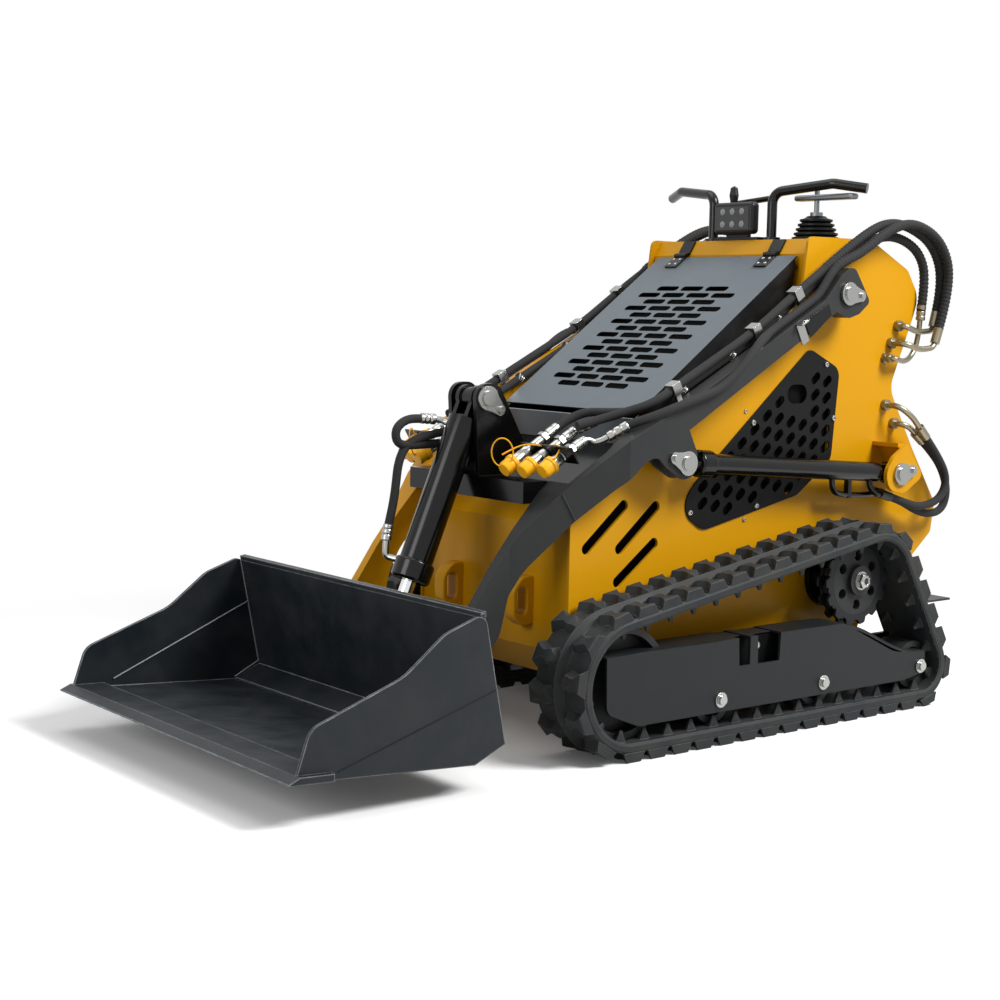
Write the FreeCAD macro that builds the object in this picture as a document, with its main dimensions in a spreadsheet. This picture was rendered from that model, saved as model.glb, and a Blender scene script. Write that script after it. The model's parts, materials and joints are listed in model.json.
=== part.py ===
"""Mini track loader: a stand-on skid steer on rubber tracks with a tilting bucket.

Frame: X forward, Y to the left, Z up, millimetres, origin on the ground under the
middle of the machine. Side plates are sketched on the XZ plane and padded along Y.
"""
import FreeCAD, Part
import math
import os

import Sketcher

V = FreeCAD.Vector
doc = FreeCAD.newDocument("MiniTrackLoader")
sheet = doc.addObject("Spreadsheet::Sheet", "Sizes")

SIZES = {
    # track undercarriage
    "track_out": 496,          # outer face of a track from the middle plane
    "track_wide": 180,
    "belt_thick": 24,
    "lug_high": 22,
    "lug_long": 44,
    "lug_count": 38,
    "idler_front_x": 229,
    "idler_front_z": 180,
    "idler_front_rad": 133.7,
    "sprocket_x": -635,
    "sprocket_z": 350,
    "sprocket_rad": 113,
    "sprocket_thick": 20,
    "sprocket_teeth": 15,
    "idler_rear_x": -826,
    "roller_z": 110,
    "roller_rad": 63.7,
    "roller_wide": 90,
    "roller_fore_x": -66,
    "roller_aft_x": -437,
    "axle_rad": 14,
    "track_axis": 406,         # middle of a track from the middle plane
    "cover_wall": 8,
    "cover_out": 478,
    # body
    "panel_out": 300,          # outer face of a side panel
    "panel_wall": 8,
    "guard_wall": 4,
    "shell_wall": 8,
    "nose_x": 270,
    "belly_z": 150,
    "console_top": 1245,
    "console_front": -520,
    "console_rear": -765,
    # arms
    "arm_mid": 360,
    "arm_wide": 46,
    "arm_crank_x": 164,        # where the outer face starts to lean in
    "foot_mid": 243,           # middle of the foot plate under a cranked arm
    "foot_wide": 26,
    "arm_pivot_x": -585,
    "arm_pivot_z": 1102,
    "lift_front_x": -20,
    "lift_front_z": 682,
    "lift_rear_x": -808,
    "lift_rear_z": 624,
    "bucket_pin_x": 572,
    "bucket_pin_z": 205,
    "tilt_top_x": 343,
    "tilt_top_z": 829,
    "tower_half": 57,          # outer face of a tower plate
    "tower_wall": 13,
    "tilt_foot_x": 552,
    "tilt_foot_z": 330,
    # cylinders
    "pin_rad": 15,
    "pin_gap": 0.05,
    "side_gap": 1,
    "lift_bore_rad": 20,
    "lift_rod_rad": 13,
    "tilt_bore_rad": 35,
    "tilt_rod_rad": 18,
    "barrel_wall": 6,
    "gland_wall": 14,
    "barrel_start": 58,        # closed end of a barrel from its pin
    "piston_back": 28,         # piston's rear face from the barrel's closed end
    "neck_half": 21,
    "eye_wide": 28,
    "eye_rad": 30,
    "tilt_eye_wide": 40,
    "keeper_thick": 8,
    "ear_gap": 4,              # between an arm's outer face line and a rear ear
    "ear_wall": 12,
    # bucket
    "bucket_half": 509,        # inner face of a bucket side plate
    "bucket_side": 8,
    "bucket_wall": 8,
    "lip_x": 1190,
    "lip_over": 13,            # cutting edge past a side plate's outer face
    "lip_deep": 108,
    # hood
    "hood_half": 262,
    "hood_wall": 4,
    "hood_top_x": -520,
    "hood_drop": 49,           # the hood's top edge below the console's top
    "hood_low_x": 30,
    "hood_low_z": 796,
    "slot_rows": 15,
    "slot_first": 152,         # from the hood's top edge to the first row of slots
    "slot_pitch_down": 30.8,
    "slot_pitch_across": 94,
    "slot_long": 80,
    "slot_wide": 21,
    "slot_cut": 6,
    # hoses
    "hose_rad": 11,
    "tube_rad": 8,             # steel tubes on the fittings
    "crimp_rad": 13,
    "crimp_long": 42,
    "coupler_rad": 15,
    "cap_rad": 19,
    # platform
    "platform_half": 290,
    "platform_rear": -1190,
    "platform_hinge_x": -985,
    "platform_hinge_z": 250,
    "platform_thick": 6,
    # running clearance between a wheel and the belt
    "run_gap": 0.3,
}
for row, (alias, value) in enumerate(SIZES.items(), start=1):
    sheet.set(f"A{row}", alias)
    sheet.set(f"B{row}", str(value))
    sheet.setAlias(f"B{row}", alias)
doc.recompute()


def size(alias):
    """The value of one cell of the sheet."""
    return float(sheet.get(alias))


HOOD_TOP = size("console_top") - size("hood_drop")


def unit(vector):
    """The vector at length one."""
    return vector * (1.0 / vector.Length)


# ----------------------------------------------------------------- outlines
def rounded(corners):
    """Lines and tangent arcs round (x, z, radius) corners, as sketch geometry in XY."""
    points = [V(x, z, 0) for x, z, _ in corners]
    radii = [radius for _, _, radius in corners]
    count = len(points)
    starts, ends, arcs = [], [], []
    for i in range(count):
        here = points[i]
        back = unit(points[i - 1] - here)
        ahead = unit(points[(i + 1) % count] - here)
        half = back.getAngle(ahead) / 2
        if radii[i] <= 0 or abs(half - math.pi / 2) < 1e-4:
            starts.append(here)
            ends.append(here)
            arcs.append(None)
            continue
        reach = radii[i] / math.tan(half)
        middle = here + unit(back + ahead) * (radii[i] / math.sin(half) - radii[i])
        starts.append(here + back * reach)
        ends.append(here + ahead * reach)
        arcs.append(Part.Arc(here + back * reach, middle, here + ahead * reach))
    outline = []
    for i in range(count):
        if arcs[i]:
            outline.append(arcs[i])
        following = starts[(i + 1) % count]
        if (following - ends[i]).Length > 1e-6:
            outline.append(Part.LineSegment(ends[i], following))
    return outline


def circle(x, z, radius):
    """A full circle as sketch geometry."""
    return [Part.Circle(V(x, z, 0), V(0, 0, 1), radius)]


def slot(x1, z1, x2, z2, radius):
    """A straight slot with round ends between two centres."""
    along = unit(V(x2 - x1, z2 - z1, 0))
    across = V(-along.y, along.x, 0) * radius
    a, b = V(x1, z1, 0), V(x2, z2, 0)
    return [
        Part.LineSegment(a + across, b + across),
        Part.Arc(b + across, b + along * radius, b - across),
        Part.LineSegment(b - across, a - across),
        Part.Arc(a - across, a - along * radius, a + across),
    ]


def wire_face(outline, holes=()):
    """A planar face in XZ from an outline, with holes."""
    def wire(geometry):
        edges = [g.toShape() for g in geometry]
        loop = Part.Wire(Part.__sortEdges__(edges))
        loop.rotate(V(0, 0, 0), V(1, 0, 0), 90)
        return loop

    face = Part.Face(wire(outline))
    for hole in holes:
        face = face.cut(Part.Face(wire(hole)))
    return face


def slab(outline, y_low, y_high, holes=()):
    """A solid between two Y planes over an XZ outline."""
    face = wire_face(outline, holes)
    solid = face.extrude(V(0, y_high - y_low, 0))
    solid.translate(V(0, y_low - face.BoundBox.YMin, 0))
    return solid.Solids[0] if len(solid.Solids) == 1 else solid


# ----------------------------------------------------------------- objects
def plate(label, outline, y_inner, wall_alias, side, holes=()):
    """A PartDesign body: one flat plate in the XZ plane, padded outwards on one side."""
    body = doc.addObject("PartDesign::Body", label)
    sketch = body.newObject("Sketcher::SketchObject", label + "_outline")
    origin = [f for f in body.Origin.OriginFeatures if f.Role == "XZ_Plane"][0]
    sketch.AttachmentSupport = [(origin, "")]
    sketch.MapMode = "FlatFace"
    sketch.addGeometry(outline, False)
    for hole in holes:
        sketch.addGeometry(hole, False)
    pad = body.newObject("PartDesign::Pad", label + "_pad")
    pad.Profile = sketch
    pad.setExpression("Length", "Sizes." + wall_alias)
    pad.Reversed = side > 0
    body.Tip = pad
    body.Placement.Base = V(0, side * y_inner, 0)
    return body


def feature(label, shape):
    """A Part::Feature with a ready shape."""
    item = doc.addObject("Part::Feature", label)
    item.Label = label
    item.Shape = shape
    return item


def cylinder_y(x, z, radius, y_low, y_high):
    """A solid cylinder along Y."""
    return Part.makeCylinder(radius, y_high - y_low, V(x, y_low, z), V(0, 1, 0))


def box(x_low, x_high, y_low, y_high, z_low, z_high):
    """A solid box between two corners."""
    return Part.makeBox(x_high - x_low, y_high - y_low, z_high - z_low, V(x_low, y_low, z_low))


def mirrored(shape):
    """The shape on the other side of the middle plane."""
    return shape.mirror(V(0, 0, 0), V(0, 1, 0))


def both(shape):
    """A shape and its mirror image as one compound."""
    return Part.makeCompound([shape, mirrored(shape)])


def fused(*shapes):
    """One clean solid out of several that overlap."""
    result = shapes[0].multiFuse(list(shapes[1:])) if len(shapes) > 1 else shapes[0]
    return result.removeSplitter()


# ----------------------------------------------------------------- tracks
def pulley_loop(wheels, grow):
    """The outline of a belt round (x, z, radius) wheels listed anticlockwise."""
    count = len(wheels)
    normals = []
    for i in range(count):
        x1, z1, r1 = wheels[i]
        x2, z2, r2 = wheels[(i + 1) % count]
        along = V(x2 - x1, z2 - z1, 0)
        lean = math.asin((r1 - r2) / along.Length)
        heading = math.atan2(along.y, along.x) - math.pi / 2 + lean
        normals.append(V(math.cos(heading), math.sin(heading), 0))
    outline = []
    for i in range(count):
        x, z, r = wheels[i]
        centre = V(x, z, 0)
        reach = r + grow
        first, last = normals[i - 1], normals[i]
        middle = unit(first + last)
        outline.append(Part.Arc(centre + first * reach, centre + middle * reach, centre + last * reach))
        x2, z2, r2 = wheels[(i + 1) % count]
        outline.append(Part.LineSegment(centre + last * reach, V(x2, z2, 0) + last * (r2 + grow)))
    return outline


def track_wheels():
    """The three wheels that the belt runs round, seen from the left, anticlockwise."""
    gap = size("run_gap")
    return [
        (size("idler_front_x"), size("idler_front_z"), size("idler_front_rad") + gap),
        (size("sprocket_x"), size("sprocket_z"), size("sprocket_rad") + gap),
        (size("idler_rear_x"), size("roller_z"), size("roller_rad") + gap),
    ]


def lug_faces(phase):
    """Tread lugs round the belt, each a tapered block that sinks 3 mm into it."""
    wheels = track_wheels()
    path = Part.Wire([g.toShape() for g in pulley_loop(wheels, size("belt_thick"))])
    count = int(size("lug_count"))
    sink = 3
    faces = []
    for i in range(count):
        distance = path.Length * ((i + phase) % count) / count
        for edge in path.Edges:
            if distance <= edge.Length:
                break
            distance -= edge.Length
        turn = edge.getParameterByLength(distance)
        spot = edge.valueAt(turn)
        along = unit(edge.tangentAt(turn))
        out = V(along.y, -along.x, 0)
        foot = size("lug_long") / 2
        crown = foot * 0.72
        corners = [
            spot - along * foot - out * sink,
            spot + along * foot - out * sink,
            spot + along * crown + out * size("lug_high"),
            spot - along * crown + out * size("lug_high"),
        ]
        loop = [Part.LineSegment(corners[k], corners[(k + 1) % 4]) for k in range(4)]
        faces.append(wire_face(loop))
    return faces


def track(label, side):
    """One rubber track: a closed belt with two staggered rows of lugs."""
    wheels = track_wheels()
    outer = wire_face(pulley_loop(wheels, size("belt_thick")))
    inner = wire_face(pulley_loop(wheels, 0))
    half = size("track_wide") / 2
    middle = size("track_out") - half
    rows = []
    for phase, low, high in ((0, middle, middle + half), (0.5, middle - half, middle)):
        face = outer.multiFuse(lug_faces(phase)).removeSplitter().cut(inner)
        row = face.extrude(V(0, high - low, 0))
        row.translate(V(0, low, 0))
        rows.append(row)
    solid = rows[0].fuse(rows[1]).removeSplitter()
    return feature(label, solid if side > 0 else mirrored(solid))


for name, side in (("track_left", 1), ("track_right", -1)):
    track(name, side)


# ----------------------------------------------------------------- wheels
def wheel(x, z, radius, wide, hub_rad, web):
    """A revolved wheel with a rim, a thinner web and a bored hub, at the track's middle."""
    bore = size("axle_rad") + size("pin_gap")
    half = wide / 2
    rim = radius - 16
    profile = [
        (bore, -half), (hub_rad, -half), (hub_rad, -web), (rim, -web), (rim, -half),
        (radius, -half), (radius, half), (rim, half), (rim, web), (hub_rad, web),
        (hub_rad, half), (bore, half),
    ]
    points = [V(r, y, 0) for r, y in profile]
    face = Part.Face(Part.makePolygon(points + points[:1]))
    solid = face.revolve(V(0, 0, 0), V(0, 1, 0), 360)
    solid.translate(V(x, size("track_axis"), z))
    return solid


front = wheel(size("idler_front_x"), size("idler_front_z"), size("idler_front_rad"),
              size("roller_wide"), 40, 9)
feature("front_idlers", both(front))
small = [
    wheel(x, size("roller_z"), size("roller_rad"), size("roller_wide"), 28, 12)
    for x in (size("roller_fore_x"), size("roller_aft_x"), size("idler_rear_x"))
]
feature("track_rollers", Part.makeCompound([s for w in small for s in (w, mirrored(w))]))


def sprocket():
    """The toothed drive wheel with six lightening holes and a hub nut."""
    teeth = int(size("sprocket_teeth"))
    tip, root = size("sprocket_rad"), size("sprocket_rad") - 17
    x, z = size("sprocket_x"), size("sprocket_z")
    corners = []
    for i in range(teeth):
        start = 2 * math.pi * i / teeth
        for share, radius in ((0.0, root), (0.3, root), (0.42, tip), (0.82, tip)):
            turn = start + 2 * math.pi / teeth * share
            corners.append((x + radius * math.cos(turn), z + radius * math.sin(turn), 0))
    middle = size("track_axis") - 6
    half = size("sprocket_thick") / 2
    holes = []
    for i in range(6):
        turn = math.pi / 3 * i + math.pi / 6
        holes.append(circle(x + 66 * math.cos(turn), z + 66 * math.sin(turn), 14))
    disc = slab(rounded(corners), middle - half, middle + half, holes)
    hub = cylinder_y(x, z, 40, middle + half - 1, middle + half + 14)
    nut = cylinder_y(x, z, 17, middle + half + 13, middle + half + 30)
    return fused(disc, hub, nut)


feature("sprockets", both(sprocket()))


def drive_motor():
    """The wheel motor between the side panel and the sprocket."""
    x, z = size("sprocket_x"), size("sprocket_z")
    face = size("track_axis") - 6 - size("sprocket_thick") / 2
    flange = cylinder_y(x, z, 84, size("panel_out"), size("panel_out") + 14)
    drum = cylinder_y(x, z, 58, size("panel_out") + 13, face)
    return fused(flange, drum)


feature("drive_motors", both(drive_motor()))


def track_frame():
    """The beam that carries the axles, with cross tubes into the body."""
    middle = size("track_axis")
    inner = middle - size("roller_wide") / 2 - 16
    z = size("roller_z")
    beam = box(size("idler_rear_x") - 30, size("idler_front_x") - 170, inner - 14, inner, z - 30, z + 70)
    arm = slab(rounded([
        (size("idler_front_x") - 200, z - 20, 0), (size("idler_front_x") + 28, z + 30, 24),
        (size("idler_front_x") + 28, z + 105, 24), (size("idler_front_x") - 200, z + 70, 0),
    ]), inner - 14, inner)
    foots = [
        box(x - 45, x + 45, size("panel_out"), inner - 13, z + 5, z + 65)
        for x in (size("roller_fore_x") - 60, size("roller_aft_x") - 60)
    ]
    whole = fused(beam, arm, *foots)
    spots = [(x, size("roller_z")) for x in
             (size("roller_fore_x"), size("roller_aft_x"), size("idler_rear_x"))]
    spots.append((size("idler_front_x"), size("idler_front_z")))
    for x, z in spots:
        bore = size("axle_rad") + size("pin_gap")
        whole = whole.cut(cylinder_y(x, z, bore, inner - 20, inner + 5))
    return whole


feature("track_frames", both(track_frame()))


def track_axles():
    """The axle bolts from the beam to the cover, with their heads outside."""
    inner = size("track_axis") - size("roller_wide") / 2 - 30
    head = size("cover_out")
    spots = [(x, size("roller_z")) for x in
             (size("roller_fore_x"), size("roller_aft_x"), size("idler_rear_x"))]
    bolts = []
    for x, z in spots:
        shank = cylinder_y(x, z, size("axle_rad"), inner, head)
        cap = cylinder_y(x, z, 19, head, head + 4)
        nut = cylinder_y(x, z, 12, head + 3, head + 12)
        bolts.append(fused(shank, cap, nut))
    x, z = size("idler_front_x"), size("idler_front_z")
    bolts.append(cylinder_y(x, z, size("axle_rad"), inner, head - size("cover_wall")))
    return bolts


axles = track_axles()
feature("track_axles", Part.makeCompound([s for a in axles for s in (a, mirrored(a))]))


def cover_outline():
    """The guard plate over the rollers, with its two notches and swept tail."""
    return rounded([
        (308, 250, 4), (305, 120, 30), (205, 80, 30), (-760, 78, 30), (-848, 92, 6),
        (-844, 150, 8), (-720, 158, 150), (-510, 256, 40), (-274, 256, 0), (-270, 185, 4),
        (-193, 185, 4), (-191, 256, 0), (-165, 256, 0), (-165, 186, 4), (-128, 186, 4),
        (-124, 256, 0),
    ])


cover_holes = [
    circle(x, size("roller_z"), size("axle_rad") + size("pin_gap"))
    for x in (size("roller_fore_x"), size("roller_aft_x"), size("idler_rear_x"))
]
for name, side in (("track_cover_left", 1), ("track_cover_right", -1)):
    plate(name, cover_outline(), size("cover_out") - size("cover_wall"), "cover_wall", side, cover_holes)


# ----------------------------------------------------------------- body
def panel_outline():
    """A side panel: nose, waist under the arm, console shoulder and swept rear."""
    top, front, rear = size("console_top"), size("console_front"), size("console_rear")
    return rounded([
        (276, 200, 30), (276, 545, 40), (215, 640, 30), (-20, 775, 0), (-400, 975, 30),
        (-500, 1100, 20), (front, top + 4, 20), (rear - 1, top + 4, 25), (-925, top - 73, 30),
        (-975, 1100, 60), (-955, 1045, 20), (-868, 850, 60), (-973, 685, 0),
        (-1085, 522, 30), (-1072, 440, 20), (-985, 370, 30), (-800, 260, 30), (-760, 160, 20),
        (240, 160, 30),
    ])


def guard_outline(grow):
    """The boomerang guard over the engine bay vent, its edge moved outwards by an amount."""
    return rounded([
        (-535 + grow * 0.3, 958 + grow * 1.1, 30), (-655 - grow, 903 + grow * 0.6, 34),
        (-633 - grow, 662 - grow * 0.5, 40), (-505 - grow * 0.3, 573 - grow, 30),
        (-160 + grow * 0.3, 500 - grow, 50), (-74 + grow * 1.2, 556, 50),
        (-130 + grow * 0.6, 622 + grow, 40),
    ])


def vent_slots():
    """The three slanting slots behind the nose."""
    return [
        slot(224, 479, 107, 577, 14), slot(117, 472, 1, 569, 14), slot(121, 391, 4, 478, 14),
    ]


for name, side in (("side_panel_left", 1), ("side_panel_right", -1)):
    inner = size("panel_out") - size("panel_wall")
    plate(name, panel_outline(), inner, "panel_wall", side, vent_slots() + [guard_outline(-14)])


def oblong(x, z, long, radius, lean):
    """A slanted oblong hole."""
    turn = math.radians(lean)
    dx, dz = long / 2 * math.cos(turn), long / 2 * math.sin(turn)
    return slot(x - dx, z - dz, x + dx, z + dz, radius)


def guard_holes():
    """Leaning oblong holes over the whole guard, in slanting rows round its wide hole."""
    inside = wire_face(guard_outline(-9))
    wide = slot(-504, 839, -480, 839, 25)
    kept_clear = wire_face(slot(-504, 839, -480, 839, 34))
    holes = [wide]
    for row in range(-4, 7):
        for column in range(-9, 5):
            x = -472 - column * 45
            z = 767 - column * 9 - row * 43.5
            lean = oblong(x, z, 16, 11, 140)
            shape = wire_face(lean)
            if shape.common(kept_clear).Area > 0:
                continue
            if shape.common(inside).Area > shape.Area * 0.999:
                holes.append(lean)
    return holes


for name, side in (("vent_guard_left", 1), ("vent_guard_right", -1)):
    plate(name, guard_outline(0), size("panel_out"), "guard_wall", side, guard_holes())


def folded(points, thick):
    """The closed outline of a sheet bent along a polyline, its wall on the left of the line."""
    line = [V(x, z, 0) for x, z in points]
    inner = []
    for i, here in enumerate(line):
        before = unit(here - line[i - 1]) if i else unit(line[1] - here)
        after = unit(line[i + 1] - here) if i + 1 < len(line) else before
        left = unit(V(-before.y - after.y, before.x + after.x, 0))
        share = thick / max(0.2, left.dot(V(-after.y, after.x, 0)))
        inner.append(here + left * share)
    corners = line + inner[::-1]
    return [Part.LineSegment(corners[k], corners[(k + 1) % len(corners)]) for k in range(len(corners))]


HEEL = (-800, 255)
TAIL = (-975, 368)


def shell():
    """Nose, belly and rear wall as one folded sheet between the side panels."""
    inner = size("panel_out") - size("panel_wall")
    nose, belly = size("nose_x"), size("belly_z")
    top, rear = size("console_top"), size("console_rear")
    run = [
        (nose - 36, 586), (nose, 530), (nose, belly + 75), (nose - 60, belly), (-750, belly),
        HEEL, TAIL, (-1050, 432), (-1062, 508), (-985, 655), (-862, 842),
        (-862, 872), (-940, 1046), (-956, 1100), (-912, top - 83), (rear - 3, top - 13),
    ]
    return slab(folded(run[::-1], size("shell_wall")), -inner, inner)


feature("body_shell", shell())


def console():
    """The folded control console between the panels."""
    inner = size("panel_out") - size("panel_wall")
    top, front, rear = size("console_top"), size("console_front"), size("console_rear")
    run = [(front - 8, top - 125), (front - 8, top - 40), (front - 34, top), (rear, top)]
    return slab(folded(run, 6), -inner, inner)


feature("console", console())


def front_deck():
    """The dark sheet from the nose top up to the cowl."""
    inner = size("panel_out") - size("panel_wall")
    nose = size("nose_x")
    run = [(nose - 42, 592), (nose - 60, 600), (10, 728)]
    return slab(folded(run, 6), -inner, inner)


feature("front_deck", front_deck())


def cowl():
    """The fixed grey cowl under the hood's lower edge, with its inner side skirts."""
    half = size("hood_half")
    low_x, low_z = size("hood_low_x"), size("hood_low_z")
    run = [(30, 716.5), (low_x + 22, low_z - 12)]
    face = slab(folded(run, 4), -half, half)
    side = rounded([
        (low_x + 14, low_z - 18, 0), (31, 724, 0), (-20, 752, 0), (-120, 752, 0),
        (-500, 1000, 0), (-516, 1150, 0),
        (size("hood_top_x") + 6, HOOD_TOP - 34, 0),
    ])
    skirt = slab(side, half - 10, half - 6)
    return fused(face, skirt, mirrored(skirt))


feature("cowl", cowl())


def engine():
    """The engine as one plain block on the belly."""
    belly = size("belly_z") + size("shell_wall")
    return box(-560, -120, -170, 170, belly, belly + 380)


feature("engine_block", engine())


def tie_down_eye():
    """A thick rounded ear with an oval hole on the nose."""
    nose = size("nose_x")
    outline = rounded([(nose, 282, 0), (nose + 30, 278, 20), (nose + 63, 304, 30), (nose + 63, 368, 34),
                       (nose + 34, 400, 34), (nose, 400, 0)])
    hole = slot(nose + 35, 322, nose + 35, 360, 15)
    ear = slab(outline, 122, 162, [hole])
    rims = [e for e in ear.Edges if e.BoundBox.YLength < 0.1 and e.BoundBox.XMax > nose + 5]
    return ear.makeFillet(4, rims)


feature("tie_down_eyes", both(tie_down_eye()))


# ----------------------------------------------------------------- pins and eyes
def keeper(x, z, lean, y_face):
    """A teardrop keeper plate with its bolt, on a pin's outer end."""
    thick = size("keeper_thick")
    turn = math.radians(lean)
    lobe_x, lobe_z = x + 46 * math.cos(turn), z + 46 * math.sin(turn)
    big = cylinder_y(x, z, 30, y_face, y_face + thick)
    small = cylinder_y(lobe_x, lobe_z, 15, y_face, y_face + thick)
    across = V(-math.sin(turn), 0, math.cos(turn))
    a, b = V(x, y_face, z), V(lobe_x, y_face, lobe_z)
    web = Part.Face(Part.makePolygon([
        a + across * 29, b + across * 14.5, b - across * 14.5, a - across * 29, a + across * 29,
    ])).extrude(V(0, thick, 0))
    boss = cylinder_y(x, z, 19, y_face + thick - 1, y_face + thick + 5)
    bolt = cylinder_y(lobe_x, lobe_z, 8, y_face + thick - 1, y_face + thick + 6)
    return fused(big, small, web, boss, bolt)


def pin(x, z, y_low, y_high, lean):
    """A hinge pin with a keeper plate on its outer end."""
    return fused(cylinder_y(x, z, size("pin_rad"), y_low, y_high), keeper(x, z, lean, y_high - 0.5))


def bored(shape, x, z):
    """The shape with a pin hole along Y, a running clearance wider than the pin."""
    hole = cylinder_y(x, z, size("pin_rad") + size("pin_gap"), -700, 700)
    return shape.cut(hole)


def prism(plan):
    """A tall solid over an outline in plan, to trim a side shape by."""
    points = [V(x, y, 0) for x, y in plan]
    return Part.Face(Part.makePolygon(points + points[:1])).extrude(V(0, 0, 1500))


# ----------------------------------------------------------------- lift arms
def arm_outline():
    """The arm from the side: pivot ear, slim box, cylinder cheek and the bent foot."""
    foot_x, foot_z = size("bucket_pin_x"), size("bucket_pin_z")
    return rounded([
        (-606, 1176, 24), (-560, 1150, 20), (-500, 1083, 40), (-216, 930, 0), (-60, 848, 60),
        (161, 746, 0), (318, 614, 60), (399, 526, 0), (460, 450, 0), (528, 352, 60),
        (foot_x + 30, foot_z + 40, 40), (foot_x + 32, foot_z - 30, 32), (foot_x - 32, foot_z - 32, 32),
        (448, 285, 60), (424, 378, 30), (398, 425, 20), (384, 444, 10), (283, 552, 0), (200, 622, 0),
        (114, 687, 0), (95, 696, 10), (-26, 762, 6), (-545, 1054, 0), (-590, 1038, 30),
        (-632, 1050, 30), (-674, 1082, 14),
    ])


def arm_plan():
    """The arm from above: beside the body, then cranked in to the foot plate before the nose."""
    low, high = size("arm_mid") - size("arm_wide") / 2, size("arm_mid") + size("arm_wide") / 2
    foot_low = size("foot_mid") - size("foot_wide") / 2
    foot_high = size("foot_mid") + size("foot_wide") / 2
    step = size("nose_x") + 17
    crank = size("arm_crank_x")
    return [
        (-700, low), (crank + 36, low), (step, size("panel_out") + 3), (step, foot_low),
        (700, foot_low), (700, foot_high), (crank + 261, foot_high), (crank, high), (-700, high),
    ]


def arm():
    """One lift arm with its cylinder ears and pin holes, on the left."""
    half = size("arm_wide") / 2
    low, high = size("arm_mid") - half, size("arm_mid") + half
    beam = slab(arm_outline(), 0, 500).common(prism(arm_plan()))
    front_x, front_z = size("lift_front_x"), size("lift_front_z")
    ear = rounded([
        (front_x - 6, 764, 0), (front_x - 37, 704, 20), (front_x - 30, front_z - 30, 30),
        (front_x + 8, front_z - 42, 30), (front_x + 68, front_z - 8, 20), (front_x + 92, 697, 10),
        (front_x + 116, 697, 0), (front_x + 60, 764, 0),
    ])
    eye = size("eye_wide") / 2 + size("side_gap")
    outer = slab(ear, size("arm_mid") + eye, high)
    inner = slab(ear, low, size("arm_mid") - eye)
    whole = fused(beam, outer, inner)
    for x, z in (
        (size("arm_pivot_x"), size("arm_pivot_z")), (front_x, front_z),
        (size("bucket_pin_x"), size("bucket_pin_z")),
    ):
        whole = bored(whole, x, z)
    return whole


feature("arm_left", arm())
feature("arm_right", mirrored(arm()))


def cross_member():
    """The box between the arms with the tower that carries the tilt cylinder."""
    inner = size("foot_mid") - size("foot_wide") / 2
    beam = box(291, 365, -inner, inner, 588, 640)
    top_x, top_z = size("tilt_top_x"), size("tilt_top_z")
    outline = rounded([
        (top_x - 36, top_z + 36, 35.5), (top_x + 36, top_z + 36, 35.5), (365, 640, 0), (365, 610, 0),
        (291, 610, 0), (291, 640, 0), (196, 668, 12),
    ])
    inside = size("tower_half") - size("tower_wall")
    plates = slab(outline, inside, size("tower_half"))
    strut = box(262, 274, -inside - 1, inside + 1, 660, 716)
    tower = fused(beam, plates, mirrored(plates), strut)
    return bored(tower, top_x, top_z)


feature("cross_member", cross_member())

# ----------------------------------------------------------------- cylinders
def along(shape, x, z, turn):
    """A shape built along +X from the origin, turned up by an angle and put at a pin."""
    placed = shape.copy()
    placed.rotate(V(0, 0, 0), V(0, -1, 0), math.degrees(turn))
    placed.translate(V(x, 0, z))
    return placed


def tube_x(radius, start, end, middle):
    """A solid cylinder along X at a Y offset."""
    return Part.makeCylinder(radius, end - start, V(start, middle, 0), V(1, 0, 0))


def barrel(bore, rod_rad, reach, middle, eye_half):
    """A cylinder barrel from its eye at the origin to the gland's face at reach."""
    eye = cylinder_y(0, 0, size("eye_rad"), middle - eye_half, middle + eye_half)
    start, neck = size("barrel_start"), size("neck_half")
    stem = Part.makeBox(start + 2, 2 * eye_half, 2 * neck, V(0, middle - eye_half, -neck))
    tube = tube_x(bore + size("barrel_wall"), start, reach - 4, middle)
    gland = tube_x(bore + size("gland_wall"), reach - 52, reach, middle)
    gland = gland.makeFillet(8, [e for e in gland.Edges if e.BoundBox.XLength < 0.1])
    whole = fused(eye, stem, tube, gland)
    hollow = tube_x(bore, start + 14, reach - 30, middle)
    throat = tube_x(rod_rad + size("pin_gap"), reach - 31, reach + 1, middle)
    return bored(whole.cut(hollow).cut(throat), 0, 0)


def rod(bore, radius, length, middle, eye_half):
    """A piston rod whose eye sits at length, drawn fully in, and the pin core in that eye."""
    eye = cylinder_y(length, 0, size("eye_rad"), middle - eye_half, middle + eye_half)
    start = size("barrel_start") + size("piston_back")
    shaft = tube_x(radius, start + 2, length - 20, middle)
    piston = tube_x(bore - size("run_gap"), start, start + 24, middle)
    core = cylinder_y(length, 0, size("pin_rad"), middle - eye_half, middle + eye_half)
    return Part.makeCompound([bored(fused(eye, shaft, piston), length, 0), core])


def span(x1, z1, x2, z2):
    """Length and upward turn of a line between two pins."""
    return math.hypot(x2 - x1, z2 - z1), math.atan2(z2 - z1, x2 - x1)


eye_half = size("eye_wide") / 2
lift_x, lift_z = size("lift_rear_x"), size("lift_rear_z")
lift_long, lift_turn = span(lift_x, lift_z, size("lift_front_x"), size("lift_front_z"))
for name, side in (("left", 1), ("right", -1)):
    middle = side * size("arm_mid")
    body = barrel(size("lift_bore_rad"), size("lift_rod_rad"), lift_long - 52, middle, eye_half)
    feature("lift_barrel_" + name, along(body, lift_x, lift_z, lift_turn))
    shaft = rod(size("lift_bore_rad"), size("lift_rod_rad"), lift_long, middle, eye_half)
    feature("lift_rod_" + name, along(shaft, lift_x, lift_z, lift_turn))

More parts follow.
